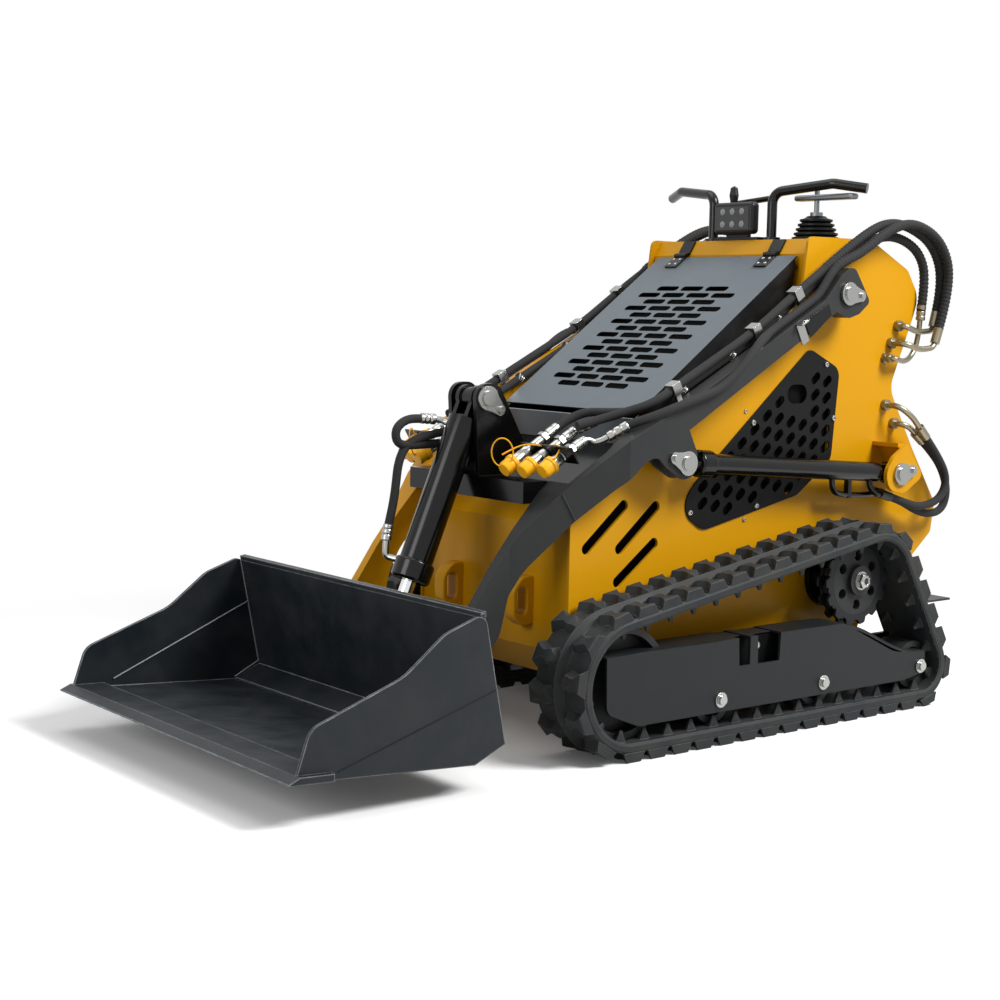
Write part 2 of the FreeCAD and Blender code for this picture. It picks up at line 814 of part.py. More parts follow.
tilt_x, tilt_z = size("tilt_top_x"), size("tilt_top_z")
tilt_long, tilt_turn = span(tilt_x, tilt_z, size("tilt_foot_x"), size("tilt_foot_z"))


def tilt_barrel():
    """The tilt cylinder's barrel: two eye plates on a cross tube between the tower plates."""
    inside = size("tower_half") - size("tower_wall") - size("side_gap")
    body = barrel(size("tilt_bore_rad"), size("tilt_rod_rad"), tilt_long - 62, 0, 32)
    slit = Part.makeBox(36 + size("barrel_start") - 6, 36, 90, V(-36, -18, -45))
    bush = cylinder_y(0, 0, 25, -inside, inside)
    return bored(fused(body.cut(slit), bush), 0, 0)


feature("tilt_barrel", along(tilt_barrel(), tilt_x, tilt_z, tilt_turn))
tilt_eye = size("tilt_eye_wide") / 2
tilt_shaft = rod(size("tilt_bore_rad"), size("tilt_rod_rad"), tilt_long, 0, tilt_eye)
feature("tilt_rod", along(tilt_shaft, tilt_x, tilt_z, tilt_turn))


# ----------------------------------------------------------------- pins
def arm_pins():
    """The pins that ride on the arms: the ends of the lift rod pins and the tower pin."""
    half = size("arm_wide") / 2
    low, high = size("arm_mid") - half, size("arm_mid") + half
    eye = size("eye_wide") / 2 + size("side_gap")
    x, z = size("lift_front_x"), size("lift_front_z")
    outer = pin(x, z, size("arm_mid") + eye, high + 0.5, 18)
    inner = cylinder_y(x, z, size("pin_rad"), low, size("arm_mid") - eye)
    reach = size("tower_half") + 0.5
    tower = pin(size("tilt_top_x"), size("tilt_top_z"), -reach - 4, reach, 218)
    return Part.makeCompound([outer, mirrored(outer), inner, mirrored(inner), tower])


feature("arm_pins", arm_pins())


def body_pins():
    """The pins that stand on the body: arm pivots and rear cylinder pins."""
    half = size("arm_wide") / 2
    high = size("arm_mid") + half + 1
    pivot = pin(size("arm_pivot_x"), size("arm_pivot_z"), size("panel_out"), high + 0.5, 186)
    pivot = fused(pivot, cylinder_y(size("arm_pivot_x"), size("arm_pivot_z"), 40,
                                    size("panel_out"), size("arm_mid") - half - 1))
    ear_face = size("arm_mid") + half + size("ear_gap") + size("ear_wall")
    rear = pin(lift_x, lift_z, size("panel_out"), ear_face + 0.5, 170)
    return Part.makeCompound([pivot, mirrored(pivot), rear, mirrored(rear)])


feature("body_pins", body_pins())


def cylinder_ear():
    """The rear bracket that holds a lift cylinder's eye, on the left panel."""
    outer = size("arm_mid") + size("arm_wide") / 2 + size("ear_gap")
    ear = slab(rounded([
        (lift_x - 24, lift_z + 80, 4), (lift_x + 30, lift_z + 46, 40), (lift_x + 60, lift_z + 4, 40),
        (lift_x + 44, lift_z - 44, 40), (lift_x - 20, lift_z - 54, 40), (lift_x - 88, lift_z - 14, 14),
        (lift_x - 86, lift_z + 2, 10),
    ]), outer, outer + size("ear_wall"))
    web = slab(rounded([
        (lift_x + 2, lift_z + 82, 0), (lift_x - 24, lift_z + 80, 0), (lift_x - 85, lift_z, 0),
        (lift_x - 74, lift_z - 4, 0), (lift_x - 18, lift_z + 69, 0), (lift_x + 2, lift_z + 71, 0),
    ]), size("panel_out"), outer + 1)
    boss = cylinder_y(lift_x, lift_z, 22, size("panel_out"),
                      size("arm_mid") - size("eye_wide") / 2 - size("side_gap"))
    return bored(fused(ear, web), lift_x, lift_z), bored(boss, lift_x, lift_z)


brackets = [s for piece in cylinder_ear() for s in (piece, mirrored(piece))]
feature("cylinder_ears", Part.makeCompound(brackets))


# ----------------------------------------------------------------- bucket
BACK_LOW = (634, 106)
BACK_TOP = (692, 398)


def bucket_shell():
    """Floor, heel and back as one folded sheet, with side plates and a top bar."""
    half = size("bucket_half")
    run = [(size("lip_x") - size("lip_deep"), 93), (716, 70), BACK_LOW, BACK_TOP]
    wrap = slab(folded(run[::-1], size("bucket_wall")), -half - 1, half + 1)
    side = rounded([
        (1163, 113.5, 0), (1132, 204, 45), (905, 284, 130), (800, 364, 90), (694, 400, 24),
        (634, 106, 0), (716, 70, 0), (1081.7, 93, 0), (1081.7, 109.5, 0),
    ])
    plates = slab(side, half, half + size("bucket_side"))
    bar = slab(rounded([(686, 390, 0), (700, 388, 0), (702, 400, 0), (688, 402, 0)]), -half, half)
    return fused(wrap, plates, mirrored(plates), bar)


def cutting_edge():
    """The flat bar bolted on the floor's front edge."""
    lip, deep = size("lip_x"), size("lip_deep")
    outline = rounded([
        (lip, 99, 0), (lip, 102, 0), (lip - 27, 113.2, 0), (lip - deep + 0.3, 109.2, 0),
        (lip - deep + 0.3, 93, 0),
    ])
    half = size("bucket_half") + size("bucket_side") + size("lip_over")
    return slab(outline, -half, half)


def bucket_mount():
    """The mounting plate on the bucket's back with the foot ears and the tilt ears."""
    low, top = V(*BACK_LOW, 0), V(*BACK_TOP, 0)
    rise = unit(top - low)
    start, end = low + rise * 30, low + rise * 250
    back = slab(folded([(start.x, start.y), (end.x, end.y)], 12), -410, 410)
    pin_x, pin_z = size("bucket_pin_x"), size("bucket_pin_z")
    foot = rounded([
        (pin_x - 34, pin_z + 34, 33), (pin_x - 34, pin_z - 34, 33), (640, 140, 0), (672, 300, 0),
    ])
    half = size("foot_wide") / 2 + size("side_gap")
    mid = size("foot_mid")
    ears = [slab(foot, mid + half, mid + half + 12), slab(foot, mid - half - 12, mid - half)]
    tilt_x2, tilt_z2 = size("tilt_foot_x"), size("tilt_foot_z")
    top_ear = rounded([
        (tilt_x2 - 32, tilt_z2 + 33, 32), (tilt_x2 - 32, tilt_z2 - 33, 32), (648, 180, 0),
        (678, 340, 0),
    ])
    eye = size("tilt_eye_wide") / 2 + size("side_gap")
    ears.append(slab(top_ear, eye, eye + 14))
    whole = fused(back, *ears, *[mirrored(e) for e in ears])
    return bored(bored(whole, pin_x, pin_z), tilt_x2, tilt_z2)


def bucket_pins():
    """The pins that ride on the bucket: two foot pins and the ends of the tilt rod pin."""
    half = size("foot_wide") / 2 + size("side_gap") + 12
    mid = size("foot_mid")
    foot = pin(size("bucket_pin_x"), size("bucket_pin_z"), mid - half, mid + half + 0.5, 35)
    eye = size("tilt_eye_wide") / 2 + size("side_gap")
    stub = cylinder_y(size("tilt_foot_x"), size("tilt_foot_z"), size("pin_rad"), eye, eye + 15)
    return Part.makeCompound([foot, mirrored(foot), stub, mirrored(stub)])


feature("bucket_shell", bucket_shell())
feature("cutting_edge", cutting_edge())
feature("bucket_mount", bucket_mount())
feature("bucket_pins", bucket_pins())


# ----------------------------------------------------------------- hood
def hood():
    """The sloping grille hood: a flanged sheet with fifteen staggered rows of slots."""
    half = size("hood_half")
    top_x, top_z = size("hood_top_x"), HOOD_TOP
    low_x, low_z = size("hood_low_x"), size("hood_low_z")
    long, turn = span(top_x, top_z, low_x, low_z)
    wall = size("hood_wall")
    skin = Part.makeBox(long, 2 * half, wall, V(0, -half, 0))
    flange = Part.makeBox(long - 24, wall, 26, V(14, half - wall, -25))
    skin = skin.multiFuse([flange, mirrored(flange)]).removeSplitter()
    slots = []
    half_long, half_wide, cut = size("slot_long") / 2, size("slot_wide") / 2, size("slot_cut")
    loop = [
        (-half_wide, -half_long + cut), (-half_wide + cut, -half_long), (half_wide - cut, -half_long),
        (half_wide, -half_long + cut), (half_wide, half_long - cut), (half_wide - cut, half_long),
        (-half_wide + cut, half_long), (-half_wide, half_long - cut),
    ]
    for row in range(int(size("slot_rows"))):
        count = 4 if row % 2 else 3
        x = size("slot_first") + row * size("slot_pitch_down")
        for column in range(count):
            y = (column - (count - 1) / 2) * size("slot_pitch_across")
            spots = [V(x + dx, y + dy, -1) for dx, dy in loop]
            slots.append(Part.Face(Part.makePolygon(spots + spots[:1])).extrude(V(0, 0, wall + 2)))
    return along(skin.cut(Part.makeCompound(slots)), top_x, top_z, turn)


feature("hood", hood())


def hood_hinges():
    """Two strap hinges: the leaves on the hood and the knuckles over the console's edge."""
    top_x, top_z = size("hood_top_x"), HOOD_TOP
    turn = span(top_x, top_z, size("hood_low_x"), size("hood_low_z"))[1]
    leaves = []
    for y in (-170, 170):
        leaf = Part.makeBox(46, 44, 5, V(6, y - 22, size("hood_wall")))
        knuckle = cylinder_y(0, size("hood_wall") + 6, 5.8, y - 10, y + 10)
        arm_leaf = Part.makeBox(12, 20, 5, V(-2, y - 10, size("hood_wall")))
        leaves.append(fused(leaf, arm_leaf, knuckle))
    return along(Part.makeCompound(leaves), top_x, top_z, turn)


feature("hood_hinges", hood_hinges())


def hinge_leaves():
    """The fixed leaves of the hood hinges, on the console's sloping front."""
    top_x, top_z = size("hood_top_x"), HOOD_TOP
    turn = span(top_x, top_z, size("hood_low_x"), size("hood_low_z"))[1]
    lift = size("hood_wall") + 6
    axis_x = top_x - lift * math.sin(turn)
    axis_z = top_z + lift * math.cos(turn)
    front, top = size("console_front") - 8, size("console_top") - 40
    leaves = []
    for y in (-170, 170):
        plate_run = [(front - 24, top + 37), (front, top)]
        leaf = slab(folded(plate_run, 5), y - 22, y + 22)
        pieces = [leaf]
        for low in (y - 22, y + 10.3):
            ring = cylinder_y(axis_x, axis_z, 5.8, low, low + 11.7)
            web = slab(folded([(front - 2, top + 5), (axis_x, axis_z + 1)], 4), low, low + 11.7)
            pieces += [ring, web]
        leaves.append(fused(*pieces))
    return Part.makeCompound(leaves)


feature("hinge_leaves", hinge_leaves())


# ----------------------------------------------------------------- controls
def bent_bar(points, radius, bend):
    """A round bar along straight runs joined by tangent arcs."""
    spots = [V(*p) for p in points]
    edges, start = [], spots[0]
    for before, here, after in zip(spots, spots[1:], spots[2:]):
        back, ahead = unit(before - here), unit(after - here)
        half = back.getAngle(ahead) / 2
        reach = min(bend / math.tan(half), 0.45 * min((before - here).Length, (after - here).Length))
        arc_rad = reach * math.tan(half)
        middle = here + unit(back + ahead) * (arc_rad / math.sin(half) - arc_rad)
        edges.append(Part.LineSegment(start, here + back * reach).toShape())
        edges.append(Part.Arc(here + back * reach, middle, here + ahead * reach).toShape())
        start = here + ahead * reach
    edges.append(Part.LineSegment(start, spots[-1]).toShape())
    wire = Part.Wire(edges)
    first = unit(spots[1] - spots[0])
    ring = Part.Wire([Part.makeCircle(radius, spots[0], first)])
    return wire.makePipeShell([ring], True, True)


def handles():
    """The two fixed hand bars, each a post bent back and out to its grip."""
    top = size("console_top")
    bar = bent_bar([
        (-580, 110, top), (-580, 110, top + 127), (-622, 285, top + 146), (-664, 366, top + 132),
    ], 13.5, 34)
    foot = cylinder_z(-580, 110, 24, top, top + 7)
    post = fused(bar, foot)
    return Part.makeCompound([post, mirrored(post)])


def cylinder_z(x, y, radius, z_low, z_high):
    """A solid cylinder along Z."""
    return Part.makeCylinder(radius, z_high - z_low, V(x, y, z_low))


feature("hand_bars", handles())


def work_lamp():
    """The square lamp in front of the hand bars, on its foot."""
    top = size("console_top")
    case = box(-574, -540, -73, 73, top + 16, top + 103)
    case = case.makeFillet(12, case.Edges)
    foot = box(-578, -554, -82, 82, top, top + 8)
    neck = box(-574, -560, -40, 40, top + 7, top + 18)
    return fused(case, foot, neck)


feature("work_lamp", work_lamp())


def drive_lever():
    """The drive lever: pleated boot on the console, stem with its collar, flat cross grip."""
    top = size("console_top")
    x, y = -650, 206
    pleats, step, lean, deep = 5, 12, 5, 12
    points = [(0, top), (64, top)]
    for i in range(pleats):
        level = top + 2 + i * step
        rim = 64 - i * lean
        points += [(rim, level), (rim, level + 5), (rim - deep, level + 8)]
    points += [(24, top + pleats * step + 4), (0, top + pleats * step + 4)]
    face = Part.Face(Part.makePolygon([V(r, 0, z) for r, z in points + points[:1]]))
    boot = face.revolve(V(0, 0, 0), V(0, 0, 1), 360)
    boot.translate(V(x, y, 0))
    stem = cylinder_z(x, y, 7, top + 50, top + 153)
    collar = cylinder_z(x, y, 17, top + pleats * step + 4, top + pleats * step + 14)
    grip = box(x - 17, x + 17, y - 70, y + 132, top + 105, top + 121)
    grip = grip.makeFillet(7, grip.Edges)
    return boot, fused(stem, collar, grip)


boot, stem = drive_lever()
feature("lever_boot", boot.cut(stem))
feature("drive_lever", stem)


def throttle_lever():
    """A bulb knob on a stalk behind the lamp."""
    top = size("console_top")
    stalk = cylinder_z(-606, -60, 5, top, top + 99)
    profile = [(0, top + 95), (8, top + 95), (13, top + 127), (10, top + 147), (0, top + 153)]
    face = Part.Face(Part.makePolygon([V(r, 0, z) for r, z in profile + profile[:1]]))
    knob = face.revolve(V(0, 0, 0), V(0, 0, 1), 360)
    knob.translate(V(-606, -60, 0))
    return fused(stalk, knob)


feature("throttle_lever", throttle_lever())


def brake_lever():
    """A bent lever between the hand bars: a thin post with a cross grip."""
    top = size("console_top")
    return bent_bar([(-636, 58, top), (-636, 58, top + 117), (-636, -92, top + 105)], 8, 14)


feature("brake_lever", brake_lever())

# ----------------------------------------------------------------- platform
# ----------------------------------------------------------------- hoses
def hose(points):
    """A hose along its route, every bend as wide as its runs allow."""
    return bent_bar(points, size("hose_rad"), 1e4)


def crimp(points):
    """The steel sleeve before the first point of a hose's route."""
    start, after = V(*points[0]), V(*points[1])
    return Part.makeCylinder(size("crimp_rad"), size("crimp_long"), start, unit(start - after))


def fitting(route, tube):
    """A sleeve on a hose's first point and the steel tube that leads to it."""
    return fused(crimp(route), bent_bar(tube, size("tube_rad"), 1e4))


ARM_Y = size("arm_mid")
INNER_Y = ARM_Y - 20
TOP_Y = ARM_Y + 2
SIDE_Y = ARM_Y + size("arm_wide") / 2 + size("hose_rad") + 1.5
loop_inner = [
    (-1016, 330, 1060), (-1040, 330, 1149), (-992, 330, 1244), (-882, 332, 1290), (-790, 334, 1296),
    (-698, 338, 1262), (-560, INNER_Y, 1178), (-470, INNER_Y, 1122),
]
loop_outer = [
    (-998, 356, 1014), (-1046, 356, 1140), (-1000, 356, 1252), (-870, 358, 1302), (-760, 360, 1272),
    (-660, TOP_Y, 1212), (-600, TOP_Y, 1190), (-554, TOP_Y, 1168), (-512, TOP_Y, 1117),
    (-490, TOP_Y, 1092), (-471, TOP_Y, 1081.7),
]
upper_run = [
    (225, 258, 771), (165, 272, 786), (120, 300, 802), (57, INNER_Y, 826), (-80, INNER_Y, 896),
    (-245, INNER_Y, 980), (-324, INNER_Y, 1026), (-397, INNER_Y, 1075), (-469.4, INNER_Y, 1121.6),
]
lower_run = [
    (152, 321, 760), (128, 343, 779), (96, 368, 793), (48, 388, 812), (-2, SIDE_Y, 829),
    (-107, SIDE_Y, 858), (-158, SIDE_Y, 888), (-212, SIDE_Y, 934), (-262, 384, 977),
    (-318, TOP_Y, 999.5), (-470.4, TOP_Y, 1081.3),
]
loops = [hose(loop_inner), hose(loop_outer)]
feature("hose_loops", Part.makeCompound([s for h in loops for s in (h, mirrored(h))]))
runs = [hose(upper_run), hose(lower_run)]
feature("arm_hoses", Part.makeCompound([s for h in runs for s in (h, mirrored(h))]))


def hose_clamp(x, z, turn, low_y):
    """A saddle clamp round the inner hose with its post on the arm."""
    half = size("hose_rad") + 4
    block = Part.makeBox(28, 2 * half, 2 * half, V(-14, INNER_Y - half, -half))
    post = Part.makeBox(16, 11, 70, V(-8, low_y, -70))
    bore = tube_x(size("hose_rad") + 0.8, -60, 60, INNER_Y)
    clamp = fused(block, post).cut(bore)
    return along(clamp, x, z, turn).cut(slab(arm_outline(), 0, 500))


def arm_strap():
    """The bent plate that holds the lower hose against the arm's outer face."""
    face = ARM_Y + size("arm_wide") / 2
    turn = math.atan2(930 - 1083, -216 + 500)
    web = Part.makeBox(26, 4, 60, V(-13, face, -62))
    fold = Part.makeBox(26, 26, 4, V(-13, face, -6))
    return along(fused(web, fold), -398, 1029, turn)


clamps = [
    hose_clamp(-433, 1098.2, math.atan2(-46.6, 72.4), INNER_Y - 2),
    hose_clamp(-285, 1003.3, math.atan2(-46, 79), INNER_Y - 2),
    hose_clamp(-11.5, 861, math.atan2(-70, 137), INNER_Y - 2),
    arm_strap(),
]
feature("hose_clamps", Part.makeCompound([s for c in clamps for s in (c, mirrored(c))]))


def couplers():
    """Two quick couplers on their plate, the tubes behind them and the hose sleeves."""
    seat = 640
    level = seat + 28
    pieces = [box(296, 352, 186, 288, seat, seat + 8)]
    for y in (212, 262):
        pieces.append(tube_x(size("coupler_rad"), 290, 372, 0))
        pieces[-1].translate(V(0, y, level))
        pieces.append(tube_x(size("coupler_rad") + 3, 326, 350, 0))
        pieces[-1].translate(V(0, y, level))
        pieces.append(box(300, 320, y - 12, y + 12, seat + 7, level))
    pieces.append(fitting(upper_run, [
        (245, 253, 765), (276, 246, 756), (306, 214, 740), (306, 212, level),
    ]))
    pieces.append(fitting(lower_run, [
        (166, 308, 749), (196, 281, 728), (226, 272, 722), (262, 266, 736), (292, 262, 716),
        (306, 262, level),
    ]))
    return fused(*pieces)


def coupler_caps():
    """The dust caps pushed on the two couplers."""
    caps = []
    for y in (212, 262):
        cap = tube_x(size("cap_rad"), 372, 424, 0)
        cap = cap.makeFillet(5, cap.Edges)
        cap.translate(V(0, y, 668))
        caps += [cap, mirrored(cap)]
    return Part.makeCompound(caps)


feature("couplers", both(couplers()))
feature("coupler_caps", coupler_caps())

low_route = [
    (-800, 345, 565), (-869, 345, 548), (-973, 345, 499), (-1059, 345, 502), (-1083, 345, 560),
    (-1054, 345, 624), (-1004, 345, 673), (-962, 345, 703),
]
side_route = [
    (-800, 371.5, 560), (-866, 371.5, 540), (-932, 371.5, 524), (-1014, 371.5, 540),
    (-1046, 371.5, 592), (-1009, 371.5, 655), (-944, 371.5, 716),
]


def panel_fittings():
    """The hydraulic fittings on the left panel: tubes, sleeves and their nuts."""
    face = size("panel_out")
    pieces = []
    for route, tube in (
        (loop_inner, [
            (-1011, 330, 1041), (-1003, 330, 1008), (-940, 330, 1004), (-887, 330, 1020),
            (-887, face, 1020),
        ]),
        (loop_outer, [
            (-991, 356, 995), (-978, 356, 962), (-920, 356, 956), (-861, 356, 973),
            (-861, face, 973),
        ]),
        (low_route[::-1], [(-946, 345, 714), (-905, 345, 744), (-884, 334, 753), (-884, face, 753)]),
        (side_route[::-1], [(-929, 371.5, 730), (-880, 371.5, 776), (-847, 352, 804), (-847, face, 804)]),
    ):
        nut = cylinder_y(tube[-1][0], tube[-1][2], 15, face, face + 14)
        pieces.append(fused(fitting(route, tube), nut))
    return pieces


feature("panel_fittings", Part.makeCompound([s for f in panel_fittings() for s in (f, mirrored(f))]))


def lift_pipes():
    """The steel pipes under a lift cylinder's barrel, left side, cut where they meet it."""
    body = barrel(size("lift_bore_rad"), size("lift_rod_rad"), lift_long - 52, ARM_Y, eye_half)
    solid = fused(body, tube_x(size("lift_bore_rad") + 1, 60, lift_long - 60, ARM_Y))
    solid = along(solid, lift_x, lift_z, lift_turn)
    far = fitting(low_route, [
        (-781, 345, 569), (-720, 345, 566), (-640, 345, 571), (-590, 352, 582), (-580, 356, 626),
    ])
    near = fitting(side_route, [(-781, 371.5, 565), (-744, 371, 570), (-724, 366, 586), (-722, 362, 620)])
    saddle = box(-664, -652, 337, 353, 562, 624)
    return [far.fuse(saddle).cut(solid), near.cut(solid)]


lower = Part.makeCompound([hose(low_route), hose(side_route)])
pipes = Part.makeCompound(lift_pipes())
feature("lower_hoses_left", lower)
feature("lower_hoses_right", mirrored(lower))
feature("lift_pipes_left", pipes)
feature("lift_pipes_right", mirrored(pipes))


# ----------------------------------------------------------------- platform
def platform():
    """The fold-up standing plate with its turned edges."""
    half, rear = size("platform_half"), size("platform_rear")
    x, z = size("platform_hinge_x"), size("platform_hinge_z")
    deck = box(rear, x - 16, -half, half, z - 18, z - 18 + size("platform_thick"))
    lip = box(x - 22, x - 16, -half + 45, half - 45, z - 18, z + 2)
    tube = cylinder_y(x, z, 12, -half + 40, half - 40)
    tongue = box(x - 18, x - 4, -half + 60, half - 60, z - 4, z + 4)
    whole = fused(deck, lip, tube, tongue)
    return whole.cut(cylinder_y(x, z, 8 + size("pin_gap"), -half, half))


feature("platform", platform())


def platform_bracket():
    """The two ears under the rear wall that hold the platform's hinge bar."""
    half = size("platform_half")
    x, z = size("platform_hinge_x"), size("platform_hinge_z")
    slope = (TAIL[1] - HEEL[1]) / (TAIL[0] - HEEL[0])
    seat = [HEEL[1] + slope * (spot - HEEL[0]) - size("run_gap") for spot in (x + 140, x + 22)]
    ear = slab(rounded([(x - 14, z - 20, 14), (x + 24, z - 20, 16), (x + 140, seat[0], 0),
                        (x + 22, seat[1], 0), (x - 14, z + 30, 10)]), half - 38, half - 28)
    bar = cylinder_y(x, z, 8, -half + 30, half - 30)
    return fused(ear, mirrored(ear), bar)


feature("platform_bracket", platform_bracket())

# ----------------------------------------------------------------- export
doc.recompute()
nodes = [o for o in doc.Objects if o.TypeId == "PartDesign::Body" or o.TypeId.startswith("Part::")]
os.makedirs("parts", exist_ok=True)
for item in nodes:
    if "Invalid" in item.State or "Error" in item.State or not item.Shape.isValid():
        raise RuntimeError(item.Label + " is not a sound shape")
    item.Shape.exportStep(os.path.join("parts", item.Label + ".step"))
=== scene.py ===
"""Mini track loader: finishes, tread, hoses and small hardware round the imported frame.

X points forward to the bucket, Y to the left, Z up, and the origin is on the ground
under the middle of the machine. Sizes that belong to one sub-assembly are fields of its
class, in millimetres; meshes are in metres.
"""
import json
import logging
import math
from dataclasses import dataclass
from enum import Enum
from typing import Any, Mapping, Optional, Sequence, Tuple, Union

import bmesh
import bpy
import numpy as np
from mathutils import Matrix, Vector


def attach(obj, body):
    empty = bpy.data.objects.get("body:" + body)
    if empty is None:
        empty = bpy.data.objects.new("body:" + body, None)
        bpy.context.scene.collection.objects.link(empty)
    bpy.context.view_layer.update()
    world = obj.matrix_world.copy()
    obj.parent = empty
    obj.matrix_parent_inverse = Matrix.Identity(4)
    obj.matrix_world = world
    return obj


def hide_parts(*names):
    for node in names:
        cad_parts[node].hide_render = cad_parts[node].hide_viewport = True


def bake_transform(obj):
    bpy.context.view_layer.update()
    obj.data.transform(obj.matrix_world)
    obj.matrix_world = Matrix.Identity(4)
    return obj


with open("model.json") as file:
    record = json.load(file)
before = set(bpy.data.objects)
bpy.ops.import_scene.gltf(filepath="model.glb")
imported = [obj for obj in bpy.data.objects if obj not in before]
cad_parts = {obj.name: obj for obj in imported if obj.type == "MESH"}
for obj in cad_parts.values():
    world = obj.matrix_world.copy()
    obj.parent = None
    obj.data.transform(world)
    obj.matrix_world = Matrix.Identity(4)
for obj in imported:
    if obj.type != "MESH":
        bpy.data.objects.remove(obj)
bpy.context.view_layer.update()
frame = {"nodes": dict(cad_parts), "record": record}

LOG = logging.getLogger("loader")
Point = Tuple[float, float, float]
Route = Tuple[Point, ...]
Profile = Sequence[Tuple[float, float]]
Tree = bpy.types.NodeTree
Socket = bpy.types.NodeSocket
MM = 0.001
LEFTWARDS: Point = (0.0, 1.0, 0.0)


class Slot(Enum):
    """The record's material slots."""

    YELLOW_PAINT = "yellow_paint"
    CHARCOAL_PAINT = "charcoal_paint"
    BLACK_PAINT = "black_paint"
    GREY_PAINT = "grey_paint"
    TRACK_RUBBER = "track_rubber"
    ZINC_STEEL = "zinc_steel"
    BARE_STEEL = "bare_steel"
    ROD_CHROME = "rod_chrome"
    CAST_METAL = "cast_metal"
    BLACK_PLASTIC = "black_plastic"
    SOFT_RUBBER = "soft_rubber"
    HOSE_RUBBER = "hose_rubber"
    YELLOW_PLASTIC = "yellow_plastic"


class Body(Enum):
    """The moving bodies that carry pieces made here."""

    CHASSIS = "chassis"
    LIFT_ARMS = "lift_arms"
    TILT_BARREL = "tilt_barrel"
    BUCKET = "bucket"
    HOOD = "hood"


# ------------------------------------------------------------------ colours and nodes
def linear(code: str) -> Tuple[float, float, float, float]:
    """Turn an sRGB hex colour into linear RGBA.

    Args:
        code: the colour as "#rrggbb".

    Returns:
        Four floats, the last of them 1.
    """
    parts = [int(code[i:i + 2], 16) / 255 for i in (1, 3, 5)]
    red, green, blue = [c / 12.92 if c <= 0.04045 else ((c + 0.055) / 1.055) ** 2.4 for c in parts]
    return (red, green, blue, 1.0)


def add_node(tree: Tree, kind: str, settings: Optional[Mapping[Union[str, int], Any]] = None,
             links: Optional[Mapping[Union[str, int], Socket]] = None) -> bpy.types.Node:
    """Add one node with its settings and links.

    Args:
        tree: the node tree that gets the node.
        kind: the node's type, without its "ShaderNode" prefix.
        settings: values by input name, input number or property name.
        links: sockets that feed the node's inputs, by name or number.

    Returns:
        The new node.
    """
    node = tree.nodes.new("ShaderNode" + kind)
    for name, value in (settings or {}).items():
        if isinstance(name, str) and hasattr(node, name) and name not in node.inputs:
            setattr(node, name, value)
        else:
            node.inputs[name].default_value = value
    for name, source in (links or {}).items():
        tree.links.new(source, node.inputs[name])
    return node


